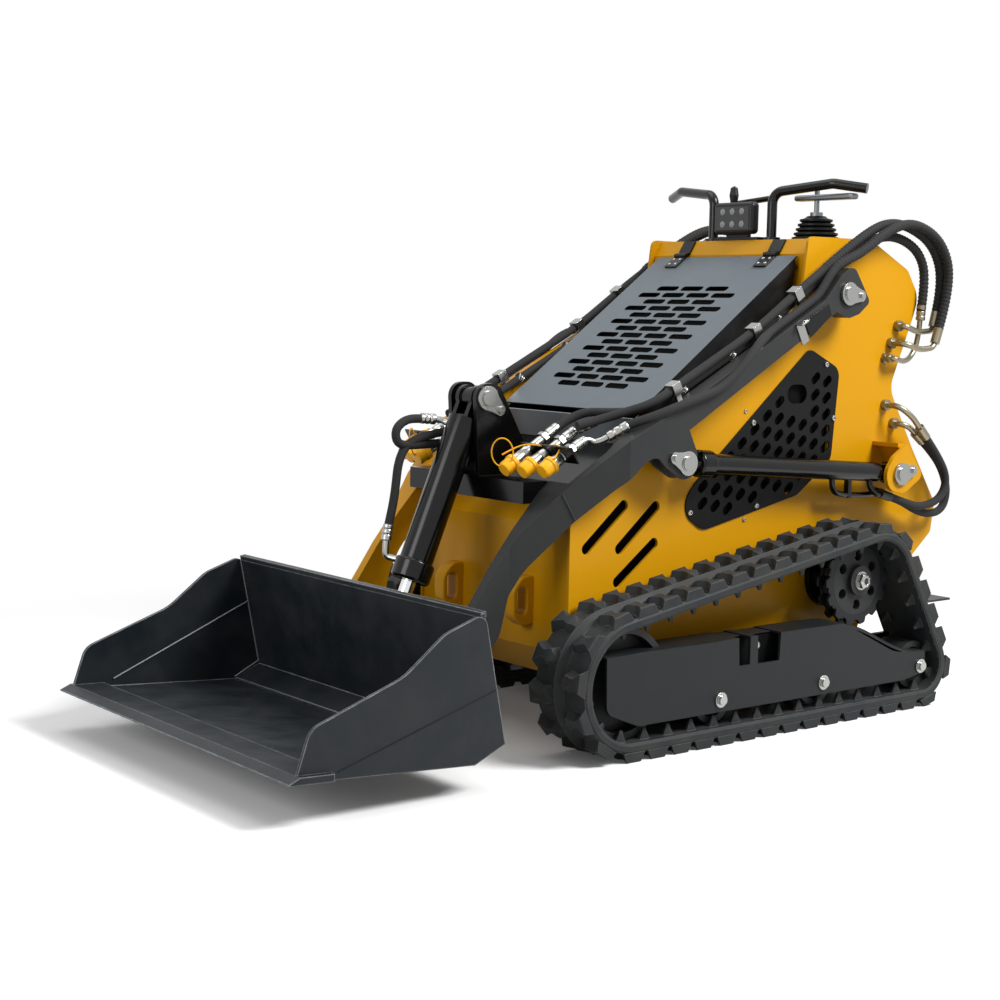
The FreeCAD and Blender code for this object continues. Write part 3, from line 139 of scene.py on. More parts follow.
# ------------------------------------------------------------------ finishes
@dataclass(frozen=True)
class Finish:
    """One surface finish: a plain Principled surface with fine colour and gloss mottling.

    Attributes:
        name: what the maker calls it, and the material's name.
        colour: its sRGB colour.
        roughness: how matt it is, 0 to 1.
        metallic: 1 for bare metal.
        mottle: how much dust tints the surface in slow clouds, 0 to 1.
        grain_mm: the size of the surface's grain.
        relief: the height of the grain as bump strength.
        round_mm: the radius of the softened edges, 0 for none.
        coat: the strength of a clear gloss layer.
        specular: the level of the plain reflection, 0.5 for the usual one.
        cloud_mm: the size of the slow clouds.
        dust: the sRGB colour of the dust.
        corner_rays: how many rays find a corner.
    """

    name: str
    colour: str
    roughness: float = 0.5
    metallic: float = 0.0
    mottle: float = 0.0
    grain_mm: float = 1.6
    relief: float = 0.1
    round_mm: float = 1.2
    coat: float = 0.0
    specular: float = 0.2
    cloud_mm: float = 90.0
    dust: str = "#8a8272"
    corner_rays: int = 4

    def material(self) -> bpy.types.Material:
        """Find this finish's material, or make it on the first call.

        Returns:
            The material.
        """
        ready = bpy.data.materials.get(self.name)
        if ready is not None:
            return ready
        made = bpy.data.materials.new(self.name)
        made.use_nodes = True
        made.node_tree.nodes.clear()
        self.build(made.node_tree)
        return made

    def noise(self, tree: Tree, size_mm: float, detail: float = 3.0) -> Socket:
        """Noise over the object's own coordinates.

        Args:
            tree: the material's tree.
            size_mm: the size of one blot.
            detail: how many finer octaves it has.

        Returns:
            The noise value, about 0.3 to 0.7.
        """
        place = add_node(tree, "TexCoord")
        settings = {"Scale": 1.0 / (size_mm * MM), "Detail": detail, "Roughness": 0.6}
        return add_node(tree, "TexNoise", settings, {"Vector": place.outputs["Object"]}).outputs["Fac"]

    def ramp(self, tree: Tree, value: Socket, low: float, high: float,
             start: float = 0.0, end: float = 1.0) -> Socket:
        """Map a value from low..high to start..end, clamped."""
        settings = {"From Min": low, "From Max": high, "To Min": start, "To Max": end}
        return add_node(tree, "MapRange", settings, {"Value": value}).outputs["Result"]

    def mixed(self, tree: Tree, share: Socket, first: Union[str, Socket], second: str) -> Socket:
        """Mix two colours.

        Args:
            tree: the material's tree.
            share: how much of the second shows, 0 to 1.
            first: an sRGB colour or a colour socket.
            second: an sRGB colour.

        Returns:
            The mixed colour.
        """
        node = add_node(tree, "Mix", {"data_type": "RGBA", 7: linear(second)}, {0: share})
        if isinstance(first, str):
            node.inputs[6].default_value = linear(first)
        else:
            tree.links.new(first, node.inputs[6])
        return node.outputs[2]

    def rounded(self, tree: Tree, radius_mm: float) -> Socket:
        """The normal as bent near corners by a round of this radius."""
        settings = {"samples": self.corner_rays, "Radius": radius_mm * MM}
        return add_node(tree, "Bevel", settings).outputs["Normal"]

    def shader(self, tree: Tree) -> bpy.types.Node:
        """Add the Principled shader and the output, with the constant values set.

        Args:
            tree: the material's tree.

        Returns:
            The shader's node.
        """
        node = add_node(tree, "BsdfPrincipled", {
            "Base Color": linear(self.colour), "Metallic": self.metallic, "Roughness": self.roughness,
            "Coat Weight": self.coat, "Coat Roughness": 0.08, "Specular IOR Level": self.specular,
        })
        add_node(tree, "OutputMaterial", links={"Surface": node.outputs["BSDF"]})
        return node

    def normal(self, tree: Tree, height: Socket, depth_mm: float = 0.4) -> Socket:
        """Bump by the grain's height over the softened edges.

        Args:
            tree: the material's tree.
            height: the grain, 0 to 1.
            depth_mm: how deep the full height is.

        Returns:
            The bumped normal.
        """
        links = {"Height": height}
        if self.round_mm > 0:
            links["Normal"] = self.rounded(tree, self.round_mm)
        settings = {"Strength": self.relief, "Distance": depth_mm * MM}
        return add_node(tree, "Bump", settings, links).outputs["Normal"]

    def tint(self, tree: Tree) -> Union[str, Socket]:
        """The colour before the dust: the finish's own."""
        return self.colour

    def build(self, tree: Tree) -> None:
        """Fill a material's tree: dusted colour, uneven gloss and a fine grain.

        Args:
            tree: the empty tree.
        """
        node = self.shader(tree)
        cloud = self.noise(tree, self.cloud_mm)
        colour = self.tint(tree)
        if self.mottle > 0:
            colour = self.mixed(tree, self.ramp(tree, cloud, 0.35, 0.7, 0.0, self.mottle), colour, self.dust)
        if not isinstance(colour, str):
            tree.links.new(colour, node.inputs["Base Color"])
        gloss = self.ramp(tree, cloud, 0.3, 0.7, self.roughness * 0.85, min(1.0, self.roughness * 1.2))
        tree.links.new(gloss, node.inputs["Roughness"])
        grain = self.noise(tree, self.grain_mm, 2.0)
        tree.links.new(self.normal(tree, grain), node.inputs["Normal"])


@dataclass(frozen=True)
class Metal(Finish):
    """Bare or plated metal: full metallic, with the usual reflection."""

    metallic: float = 1.0
    mottle: float = 0.05
    grain_mm: float = 3.0
    relief: float = 0.05
    specular: float = 0.5


@dataclass(frozen=True)
class PlateEnamel(Finish):
    """Enamel on a folded sheet: one colour on faces that look along an axis, another elsewhere.

    Attributes:
        axis: the direction, in the object's own frame, of the faces that keep the main colour.
        other: the sRGB colour of the rest.
    """

    axis: Point = (0.0, 0.0, 1.0)
    other: str = "#0d0e10"

    def tint(self, tree: Tree) -> Socket:
        """Pick the colour by the angle between the true normal and the axis.

        Args:
            tree: the material's tree.

        Returns:
            The colour before the dust.
        """
        true = add_node(tree, "NewGeometry")
        turning = {"vector_type": "NORMAL", "convert_from": "WORLD", "convert_to": "OBJECT"}
        own = add_node(tree, "VectorTransform", turning, {"Vector": true.outputs["True Normal"]})
        dot = add_node(tree, "VectorMath", {"operation": "DOT_PRODUCT", 1: self.axis},
                       {0: own.outputs["Vector"]})
        size = add_node(tree, "Math", {"operation": "ABSOLUTE"}, {0: dot.outputs["Value"]})
        return self.mixed(tree, self.ramp(tree, size.outputs[0], 0.93, 0.97), self.other, self.colour)


@dataclass(frozen=True)
class PaleEdgeEnamel(Finish):
    """Enamel with a pale colour on its corners.

    Attributes:
        edge_tint: the sRGB colour of the pale corners.
        edge_mm: how wide the pale line is.
        edge_strength: how strongly it shows, 0 to 1.
    """

    edge_tint: str = "#8f9598"
    edge_mm: float = 2.5
    edge_strength: float = 0.7

    def tint(self, tree: Tree) -> Socket:
        """Blend in the pale colour where the bent normal leaves the true one, broken up by noise.

        Args:
            tree: the material's tree.

        Returns:
            The colour before the dust.
        """
        true = add_node(tree, "NewGeometry")
        links = {0: self.rounded(tree, self.edge_mm), 1: true.outputs["Normal"]}
        dot = add_node(tree, "VectorMath", {"operation": "DOT_PRODUCT"}, links)
        line = self.ramp(tree, dot.outputs["Value"], 0.999, 0.90)
        patch = self.ramp(tree, self.noise(tree, 35), 0.38, 0.62, self.edge_strength * 0.5, self.edge_strength)
        share = add_node(tree, "Math", {"operation": "MULTIPLY"}, {0: line, 1: patch})
        return self.mixed(tree, share.outputs[0], self.colour, self.edge_tint)


@dataclass(frozen=True)
class HoodFace:
    """The hood's sloping outer face, which its enamel, screws and sheet of painted shade share.

    Attributes:
        normal: the way it looks.
        down: the way down its slope.
        top: the middle of its upper edge, mm.
    """

    normal: Point = (0.5883, 0.0, 0.8086)
    down: Point = (0.8086, 0.0, -0.5883)
    top: Point = (-520.0, 0.0, 1196.0)

    def spots(self, rows: Sequence[Point]) -> np.ndarray:
        """Points in mm from rows of (down the slope, to the left, above the face), mm."""
        return np.array(self.top) + np.array(rows, float) @ np.array([self.down, LEFTWARDS, self.normal])


HOOD_FACE = HoodFace()

# A grain finer than about 1 mm is too fine to show, so each is drawn at 0.8 to 3 mm.
# sprayed enamel over smooth primer: one even warm yellow with a soft, broad sheen
YELLOW_ENAMEL = Finish("yellow_enamel", "#c98f07", 0.34, grain_mm=2.2, relief=0.03, specular=0.18)
# sprayed enamel on flame-cut plate: satin dark grey with thin pale lines on the corners
CHARCOAL_ENAMEL = PaleEdgeEnamel("charcoal_enamel", "#2b2c2d", 0.42, mottle=0.02, relief=0.06,
                             edge_tint="#55585a", edge_mm=1.6, edge_strength=0.5)
# the same on the bucket: bluish, with its plate edges pale
BUCKET_ENAMEL = PaleEdgeEnamel("bucket_enamel", "#161c21", 0.40, mottle=0.03, relief=0.06, specular=0.25,
                           edge_tint="#a4aaad", edge_mm=3.6, edge_strength=1.0)
# baked gloss enamel on turned barrels and bars: near black with sharp bright streaks
BLACK_ENAMEL = Finish("black_enamel", "#050606", 0.17, grain_mm=2.0, relief=0.02, specular=0.3)
# satin enamel on the undercarriage plates: soft grey light and no streaks
COVER_ENAMEL = Finish("cover_enamel", "#1a1d1f", 0.42, mottle=0.02, relief=0.06)
# dip-coated punched sheet: matt and darker than the plates round it
GUARD_ENAMEL = Finish("guard_enamel", "#0a0b0b", 0.5, grain_mm=1.2, specular=0.15)
# sprayed grey enamel: a cool mid grey with a soft sheen
GREY_ENAMEL = Finish("grey_enamel", "#586168", 0.40, mottle=0.02, relief=0.04, specular=0.3)
# the same on the hood's outer face; its folds and slot walls stay dark
HOOD_ENAMEL = PlateEnamel("hood_enamel", "#586168", 0.38, mottle=0.02, relief=0.04, specular=0.3,
                          axis=HOOD_FACE.normal)
# the cowl the other way round: dark skirts, pale grey top and front
COWL_ENAMEL = PlateEnamel("cowl_enamel", "#0b0c0d", 0.40, mottle=0.02, relief=0.04, specular=0.3,
                          axis=LEFTWARDS, other="#717a81")
# carbon-filled rubber pressed in a steel mould: matt, with pale corners
TRACK_RUBBER = PaleEdgeEnamel("moulded_track_rubber", "#23272a", 0.6, mottle=0.1, grain_mm=2.0, relief=0.2,
                          edge_tint="#666c70", edge_mm=2.0, edge_strength=0.8)
# extruded hose cover: smooth black with a narrow streak of light
HOSE_RUBBER = Finish("hose_rubber", "#050606", 0.32, grain_mm=1.0, relief=0.05, round_mm=0.0, specular=0.22)
# bright zinc on turned fittings: clear, cold reflections
ZINC_PLATE = Metal("zinc_plated_steel", "#a5a6a3", 0.25)
# yellowed zinc on the side unions: warmer and softer
DULL_ZINC = Metal("dull_zinc_steel", "#8f8874", 0.32, mottle=0.1)
# ground steel: grey, with broad soft reflections
BARE_STEEL = Metal("bare_steel", "#8c9194", 0.38, mottle=0.08, relief=0.1)
# hard chrome on the cylinder rods: a mirror
HARD_CHROME = Metal("hard_chrome", "#dfe1e2", 0.09, mottle=0.0, relief=0.01)
# sand-cast iron, brushed black: rough and dull
CAST_IRON = Finish("cast_iron", "#131313", 0.6, mottle=0.05, grain_mm=3.0, relief=0.3)
# moulded glass-filled nylon: dark and satin with a fine grain
BLACK_PLASTIC = Finish("moulded_black_plastic", "#060707", 0.38, grain_mm=0.8, relief=0.2, specular=0.3)
# moulded soft vinyl caps: a bright, slightly waxy yellow
YELLOW_PLASTIC = Finish("moulded_yellow_plastic", "#eeac0c", 0.36, mottle=0.03, grain_mm=1.2, specular=0.3)
# dipped rubber boot: dull black that picks out its pleats
SOFT_RUBBER = Finish("soft_pleated_rubber", "#060707", 0.45, mottle=0.03, grain_mm=1.5)
# the lamp's pressed glass: dark and glossy
LAMP_GLASS = Finish("lamp_glass", "#1b1d20", 0.12, grain_mm=2.0, relief=0.0, coat=0.3, specular=0.5)
# the lamp's moulded lenses: pale grey domes
LAMP_CELL = Finish("lamp_cell", "#8f9190", 0.22, mottle=0.2, grain_mm=1.0, relief=0.2, specular=0.5)
# painted shade: a black sheet put where the housing is only in shade, so no light comes back
PAINTED_SHADE = Finish("painted_shade_black", "#050505", 0.9, grain_mm=3.0, relief=0.2, round_mm=0.0, specular=0.1)
# brushed weld metal: dull steel with a rippled glint
WELD_STEEL = Finish("weld_bead_steel", "#777d80", 0.42, metallic=0.6, mottle=0.1, grain_mm=2.0,
                    relief=0.2, specular=0.5)

SLOT_FINISHES = {
    Slot.YELLOW_PAINT: YELLOW_ENAMEL, Slot.CHARCOAL_PAINT: CHARCOAL_ENAMEL, Slot.BLACK_PAINT: BLACK_ENAMEL,
    Slot.GREY_PAINT: GREY_ENAMEL, Slot.TRACK_RUBBER: TRACK_RUBBER, Slot.ZINC_STEEL: ZINC_PLATE,
    Slot.BARE_STEEL: BARE_STEEL, Slot.ROD_CHROME: HARD_CHROME, Slot.CAST_METAL: CAST_IRON,
    Slot.BLACK_PLASTIC: BLACK_PLASTIC, Slot.SOFT_RUBBER: SOFT_RUBBER, Slot.HOSE_RUBBER: HOSE_RUBBER,
    Slot.YELLOW_PLASTIC: YELLOW_PLASTIC,
}
NODE_FINISHES = {
    "hood": HOOD_ENAMEL, "cowl": COWL_ENAMEL, "bucket_shell": BUCKET_ENAMEL,
    "cutting_edge": BUCKET_ENAMEL, "vent_guard_left": GUARD_ENAMEL, "vent_guard_right": GUARD_ENAMEL,
    "panel_fittings": DULL_ZINC, "lift_pipes_left": BLACK_ENAMEL, "lift_pipes_right": BLACK_ENAMEL,
    "track_cover_left": COVER_ENAMEL, "track_cover_right": COVER_ENAMEL,
}


def dress_nodes() -> None:
    """Give every CAD node its own finish, or else the one of its slot in the record."""
    for part in frame["record"]["subparts"]:
        node = frame["nodes"][part["node"]]
        chosen = NODE_FINISHES.get(part["node"], SLOT_FINISHES[Slot(part["material_slot"])])
        node.data.materials.clear()
        node.data.materials.append(chosen.material())
        LOG.info("dressed %s in %s", node.name, chosen.name)


# ------------------------------------------------------------------ surfaces
@dataclass
class Surface:
    """A mesh as whole arrays.

    Attributes:
        points: one row of x, y, z a point.
        quads: one row of four point numbers a face.
    """

    points: np.ndarray
    quads: np.ndarray

    def joined(self, *others: "Surface") -> "Surface":
        """Join surfaces: their points in one row, each one's point numbers counted on.

        Args:
            others: the surfaces to join to this one.

        Returns:
            All of them as one surface.
        """
        parts = (self,) + others
        starts = np.cumsum([0] + [len(p.points) for p in parts[:-1]])
        quads = [p.quads + start for p, start in zip(parts, starts)]
        return Surface(np.concatenate([p.points for p in parts]), np.concatenate(quads))

    def moved(self, step: Point) -> "Surface":
        """The surface one step away."""
        return Surface(self.points + step, self.quads)

    def mirrored(self) -> "Surface":
        """The surface on the other side of the middle plane, faces still outwards."""
        return Surface(self.points * (1, -1, 1), self.quads[:, ::-1])

    def both(self) -> "Surface":
        """The surface with its mirror image."""
        return self.joined(self.mirrored())

    def copies(self, origins: np.ndarray, frames: np.ndarray) -> "Surface":
        """Place copies: each point p goes to origin + frame times p.

        Args:
            origins: one row a copy.
            frames: one 3 by 3 matrix a copy, its columns the local axes.

        Returns:
            All the copies in one surface.
        """
        spots = np.einsum("kij,pj->kpi", frames, self.points) + origins[:, None, :]
        shift = np.arange(len(origins))[:, None, None] * len(self.points)
        return Surface(spots.reshape(-1, 3), (self.quads[None] + shift).reshape(-1, 4))

    def standing(self, origins: Sequence[Point], ahead: Point) -> "Surface":
        """Copies at the origins whose local Z looks ahead, with local X across it and level.

        Args:
            origins: where each copy stands.
            ahead: where local Z looks, of any length.

        Returns:
            All the copies in one surface.
        """
        out = unit(np.array(ahead, float))
        across = unit(np.cross((0.0, 0.0, 1.0), out))
        turn = np.stack([across, np.cross(out, across), out], -1)
        return self.copies(np.array(origins, float), np.tile(turn, (len(origins), 1, 1)))

    def piece(self, name: str, finish: Finish, body: Optional[Body], slot: Slot,
              sharp: float = 35.0) -> bpy.types.Object:
        """Make the scene's object, close its seams and let it ride on its body.

        Args:
            name: the piece's name.
            finish: its finish.
            body: the body that carries it, or None for a piece that spans two bodies and is carried by
                neither.
            slot: the record's material slot that the finish belongs to; not used.
            sharp: the angle in degrees past which an edge stays hard.

        Returns:
            The new object.
        """
        mesh = bpy.data.meshes.new(name)
        mesh.from_pydata(self.points.tolist(), [], self.quads.tolist())
        work = bmesh.new()
        work.from_mesh(mesh)
        bmesh.ops.remove_doubles(work, verts=work.verts, dist=1e-6)
        bmesh.ops.dissolve_degenerate(work, edges=work.edges, dist=1e-7)
        bmesh.ops.recalc_face_normals(work, faces=work.faces)
        work.to_mesh(mesh)
        work.free()
        mesh.polygons.foreach_set("use_smooth", np.ones(len(mesh.polygons), dtype=bool))
        mesh.set_sharp_from_angle(angle=math.radians(sharp))
        mesh.materials.append(finish.material())
        item = bpy.data.objects.new(name, mesh)
        bpy.context.scene.collection.objects.link(item)
        if body:
            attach(item, body.value)
        LOG.info("made %s: %d faces in %s", name, len(mesh.polygons), finish.name)
        return item


def grid(spots: np.ndarray, close_rows: bool = False, close_columns: bool = False) -> Surface:
    """A surface over a grid of points, one quad a cell.

    Args:
        spots: rows by columns by 3.
        close_rows: whether the last row meets the first.
        close_columns: whether the last column meets the first.

    Returns:
        The grid as a surface.
    """
    rows, columns = spots.shape[:2]
    number = np.arange(rows * columns).reshape(rows, columns)
    if close_rows:
        number = np.vstack([number, number[:1]])
    if close_columns:
        number = np.hstack([number, number[:, :1]])
    quads = np.stack([number[:-1, :-1], number[:-1, 1:], number[1:, 1:], number[1:, :-1]], -1)
    return Surface(spots.reshape(-1, 3), quads.reshape(-1, 4))


def unit(rows: np.ndarray) -> np.ndarray:
    """Every row at length one."""
    return rows / np.linalg.norm(rows, axis=-1, keepdims=True)


def full_turn(count: int) -> np.ndarray:
    """Even angles round a full turn."""
    return np.linspace(0, 2 * np.pi, count, endpoint=False)


def metres(rows: Sequence[Point]) -> np.ndarray:
    """Rows of millimetres as metres."""
    return np.array(rows, float) * MM


def turned(profile: Profile, sides: int = 24, hexagon: Sequence[int] = ()) -> Surface:
    """A solid of revolution about local Z: radius r(i) at height h(i) for every angle.

    On the rows named in hexagon the radius follows a hexagon of that flat radius,
    r / cos(a) with a the angle from the nearest flat's middle.

    Args:
        profile: (radius, height) in mm from the foot to the top, both ends on the axis.
        sides: how many columns go round.
        hexagon: the rows that are six-sided.

    Returns:
        The closed surface.
    """
    shape = np.array(profile, float)
    angle = full_turn(sides)
    bend = np.ones((len(shape), sides))
    bend[list(hexagon)] = 1 / np.cos(np.mod(angle, np.pi / 3) - np.pi / 6)
    radius = shape[:, :1] * bend
    height = np.repeat(shape[:, 1:], sides, 1)
    spots = np.stack([radius * np.cos(angle), radius * np.sin(angle), height], -1)
    return grid(spots * MM, close_columns=True)


def plate(corners: Sequence[Point], thick: float, out: Point) -> Surface:
    """A closed four-sided plate: the bilinear blend of its corners, with a wall.

    Args:
        corners: four corners in order, mm.
        thick: the wall, mm.
        out: the direction of the wall from the corners.

    Returns:
        The plate.
    """
    c = metres(corners)
    u = np.linspace(0, 1, 5)[:, None, None]
    v = np.linspace(0, 1, 5)[None, :, None]
    flat = (1 - u) * ((1 - v) * c[0] + v * c[3]) + u * ((1 - v) * c[1] + v * c[2])
    lifted = flat + np.array(out) * thick * MM
    rim = np.stack([np.concatenate([face[0, :-1], face[:-1, -1], face[-1, :0:-1], face[:0:-1, 0]])
                    for face in (flat, lifted)])
    return grid(flat).joined(grid(lifted), grid(rim, close_columns=True))


def route_points(points: Sequence[Point], smooth: int = 10) -> np.ndarray:
    """Points along the NURBS spline of order 3 over a route's control points.

    Args:
        points: the route, mm.
        smooth: samples a control point.

    Returns:
        One row a point, from the first end to the last.
    """
    curve = bpy.data.curves.new("route", "CURVE")
    curve.dimensions = "3D"
    curve.resolution_u = smooth
    spline = curve.splines.new("NURBS")
    spline.points.add(len(points) - 1)
    spline.points.foreach_set("co", np.c_[metres(points), np.ones(len(points))].ravel())
    spline.order_u = 3
    spline.use_endpoint_u = True
    item = bpy.data.objects.new("route", curve)
    mesh = bpy.data.meshes.new_from_object(item)
    line = np.empty(len(mesh.vertices) * 3)
    mesh.vertices.foreach_get("co", line)
    bpy.data.objects.remove(item)
    bpy.data.curves.remove(curve)
    bpy.data.meshes.remove(mesh)
    return line.reshape(-1, 3)


def walked(line: np.ndarray) -> np.ndarray:
    """The distance along a line at each of its points."""
    return np.concatenate([[0], np.cumsum(np.linalg.norm(np.diff(line, axis=0), axis=1))])


def even(line: np.ndarray, step: float) -> np.ndarray:
    """The same line with points at even distances.

    Args:
        line: the line.
        step: about how far apart its new points are.

    Returns:
        The new points, both ends kept.
    """
    along = walked(line)
    where = np.linspace(0, along[-1], max(2, int(round(along[-1] / step)) + 1))
    return np.stack([np.interp(where, along, line[:, k]) for k in range(3)], -1)


def tube(line: np.ndarray, radius: Union[float, np.ndarray], sides: int,
         level: Point = LEFTWARDS) -> Surface:
    """A closed tube: at each point a ring line(s) + r(s, a) (cos a side + sin a up).

    Args:
        line: the middle line.
        radius: one radius, one a point, or one a point and column.
        sides: how many columns go round.
        level: a direction that the line is never parallel to.

    Returns:
        The tube with both ends closed to a point.
    """
    ahead = unit(np.gradient(line, axis=0))
    side = unit(np.cross(ahead, level))
    up = np.cross(side, ahead)
    angle = full_turn(sides)
    reach = np.asarray(radius, float)
    if reach.ndim == 1:
        reach = reach[:, None]
    reach = np.broadcast_to(reach, (len(line), sides))
    ring = np.cos(angle)[None, :, None] * side[:, None] + np.sin(angle)[None, :, None] * up[:, None]
    spots = line[:, None] + reach[..., None] * ring
    first = np.repeat(line[:1, None], sides, 1)
    last = np.repeat(line[-1:, None], sides, 1)
    return grid(np.concatenate([first, spots, last]), close_columns=True)


def bent_pipe(route: Route, radius: float, sides: int, level: Point = LEFTWARDS,
              step: float = 4) -> Surface:
    """A pipe of one radius along a route's spline, with a ring every step; all in mm."""
    return tube(even(route_points(route), step * MM), radius * MM, sides, level)


def crimped_sleeve(start: Point, end: Point, radius: float) -> Surface:
    """A crimped sleeve: a tube whose radius dips at two rings and at its ends.

    Args:
        start: the middle of one end, mm.
        end: the middle of the other end, mm.
        radius: its radius, mm.

    Returns:
        The closed sleeve.
    """
    share = np.linspace(0, 1, 25)
    first, last = metres([start, end])
    line = first * (1 - share[:, None]) + last * share[:, None]
    dips = np.exp(-((share - 0.3) / 0.04) ** 2) + np.exp(-((share - 0.62) / 0.04) ** 2)
    ends = np.where((share < 0.03) | (share > 0.97), 0.85, 1)
    return tube(line, radius * MM * (1 - 0.14 * dips) * ends, 16)


# ------------------------------------------------------------------ tracks
@dataclass
class Track:
    """A rubber belt with two staggered rows of tread pads, guide teeth and studs.

    Attributes:
        wheels: (x, z, radius) of the front idler, the drive wheel and the rear roller, mm.
        middle: the belt's middle line from the middle plane, mm.
        thick: the belt's thickness, mm.
        lug: the height of a pad, mm.
        sunk: how deep a pad's foot goes into the belt, mm.
        count: pads in a row.
        outer_half: (across, out) from the rim over the tread side to the centre ridge, mm.
        inner_half: (across, out) from the rim to the middle of the wheel side, mm.
        pad_rows: (across, half length, lean along the belt, share of the height), mm.
        pad_steps: (side, growth of the foot in mm, share of the rise) round a pad's row.
        tooth_rows: (level, half length, half width) of a guide tooth from foot to tip, mm.
        teeth_at: how far the rows of teeth lie from the middle line, mm.
        studs_at: how far the row of studs lies from the middle line, mm.
        stud: (radius, height) of a stud, mm.
    """

    wheels: Tuple[Point, ...] = ((229, 180, 134.0), (-635, 350, 113.3), (-826, 110, 64.0))
    middle: float = 406
    thick: float = 24
    lug: float = 22
    sunk: float = 2
    count: int = 38
    outer_half: Profile = ((90, 6), (90, 18), (86, 24), (60, 24), (15, 24), (6, 36), (1.6, 43))
    inner_half: Profile = ((86, 0), (81, 2.5), (40, 2.5), (0, 2.5))
    pad_rows: Tuple[Tuple[float, float, float, float], ...] = (
        (6, 2, 9, 0), (6.01, 2, 9, 0.1), (14, 5, 7, 0.55), (24, 8, 5, 0.8), (34, 15, 2, 0.97),
        (44, 13, 1, 1), (54, 8.5, 0, 0.94), (62, 8.5, 0, 0.94), (70, 12, 0, 0.97), (78, 17, 0, 1),
        (86, 22, 0, 1), (88.5, 22, 0, 0.93), (88.51, 22, 0, 0),
    )
    pad_steps: Route = ((-1, 11, 0), (-1, 5, 0.55), (-1, 0, 1), (-0.5, 0, 1),
                        (0.5, 0, 1), (1, 0, 1), (1, 5, 0.55), (1, 11, 0))
    tooth_rows: Route = ((3, 17, 8), (-1, 15, 7.5), (-16, 7, 5), (-23, 5, 4), (-25, 3, 2.5), (-25, 0, 0))
    teeth_at: Tuple[float, float] = (-55, 55)
    studs_at: float = 80
    stud: Profile = ((0, -1), (3, -1), (3, 0), (2.2, 1.4), (0, 1.8))

    def path(self, count: int, shift: float = 0.0) -> Tuple[np.ndarray, np.ndarray]:
        """Even stations round the inner face of the belt.

        Between two wheels the line is their common tangent, whose outward normal leans by
        the angle whose sine is the difference of the radii over the distance.

        Args:
            count: how many stations.
            shift: where the first lies, as a share of the space between two.

        Returns:
            The stations and the outward normals, (x, z) in mm.
        """
        wheels = np.array(self.wheels)
        ahead = np.roll(wheels, -1, 0) - wheels
        long = np.hypot(ahead[:, 0], ahead[:, 1])
        heading = np.arctan2(ahead[:, 1], ahead[:, 0]) - np.pi / 2 - np.arcsin(ahead[:, 2] / long)
        start = np.roll(heading, 1)
        sweep = np.mod(heading - start, 2 * np.pi)
        turn = start[:, None] + sweep[:, None] * np.linspace(0, 1, 40)[None]
        normal = np.stack([np.cos(turn), np.sin(turn)], -1)
        spots = wheels[:, None, :2] + wheels[:, None, 2:] * normal
        spots, normal = spots.reshape(-1, 2), normal.reshape(-1, 2)
        spots, normal = np.vstack([spots, spots[:1]]), np.vstack([normal, normal[:1]])
        along = walked(spots)
        where = (np.arange(count) + shift) / count * along[-1]
        place = np.stack([np.interp(where, along, spots[:, k]) for k in (0, 1)], -1)
        out = np.stack([np.interp(where, along, normal[:, k]) for k in (0, 1)], -1)
        return place, unit(out)

    def frames(self, count: int, shift: float, height: float) -> Tuple[np.ndarray, np.ndarray]:
        """Origins and frames on the belt: local X along it, Y across, Z outwards.

        Args:
            count: how many.
            shift: where the first lies, as a share of the space between two.
            height: how far outside the inner face, mm.

        Returns:
            The origins and the frames.
        """
        place, out = self.path(count, shift)
        spots = place + out * height
        origins = metres(np.stack([spots[:, 0], np.full(count, self.middle), spots[:, 1]], -1))
        outward = np.stack([out[:, 0], np.zeros(count), out[:, 1]], -1)
        across = np.tile(LEFTWARDS, (count, 1))
        return origins, np.stack([np.cross(across, outward), across, outward], -1)

    def belt(self, stations: int = 300) -> Surface:
        """The belt: its section, both halves, carried round the path along the normals.

        Args:
            stations: how many sections go round.

        Returns:
            The left belt without its pads.
        """
        outer, inner = np.array(self.outer_half, float), np.array(self.inner_half, float)
        section = np.concatenate([outer * (-1, 1), outer[::-1], inner, inner[-2::-1] * (-1, 1)])
        place, out = self.path(stations)
        sides = np.broadcast_to(self.middle + section[None, :, 0], (stations, len(section)))
        rows = place[:, None] + out[:, None] * section[None, :, 1:]
        return grid(metres(np.stack([rows[..., 0], sides, rows[..., 1]], -1)), True, True)

    def pad(self) -> Surface:
        """One pad: each row across it is a low hill, lean + side * (half length + growth) long.

        Its height is the row's share times the step's rise of the lug. The half length
        swells at the rim and at a third of the way in, and shrinks to a point at the ridge.

        Returns:
            The pad with its foot at local height nought.
        """
        across, half, lean, share = np.array(self.pad_rows, float).T[..., None]
        side, grow, rise = np.array(self.pad_steps, float).T
        along = lean + side * half + np.sign(side) * grow
        height = share * rise * (self.lug + self.sunk) - self.sunk
        spots = np.stack([along, np.broadcast_to(across, along.shape), height], -1)
        return grid(metres(spots), close_columns=True)

    def tooth(self) -> Surface:
        """A guide tooth: each level is a rounded rectangle, sign(c) sqrt|c| times its half sides.

        Returns:
            The tooth, pointing down local Z.
        """
        level, long, wide = np.array(self.tooth_rows, float).T[..., None]
        round_trip = np.stack([np.cos(full_turn(12)), np.sin(full_turn(12))])
        flow, cross = np.sign(round_trip) * np.abs(round_trip) ** 0.5
        spots = np.stack([long * flow, wide * cross, np.broadcast_to(level, (len(level), 12))], -1)
        return grid(metres(spots), close_columns=True)

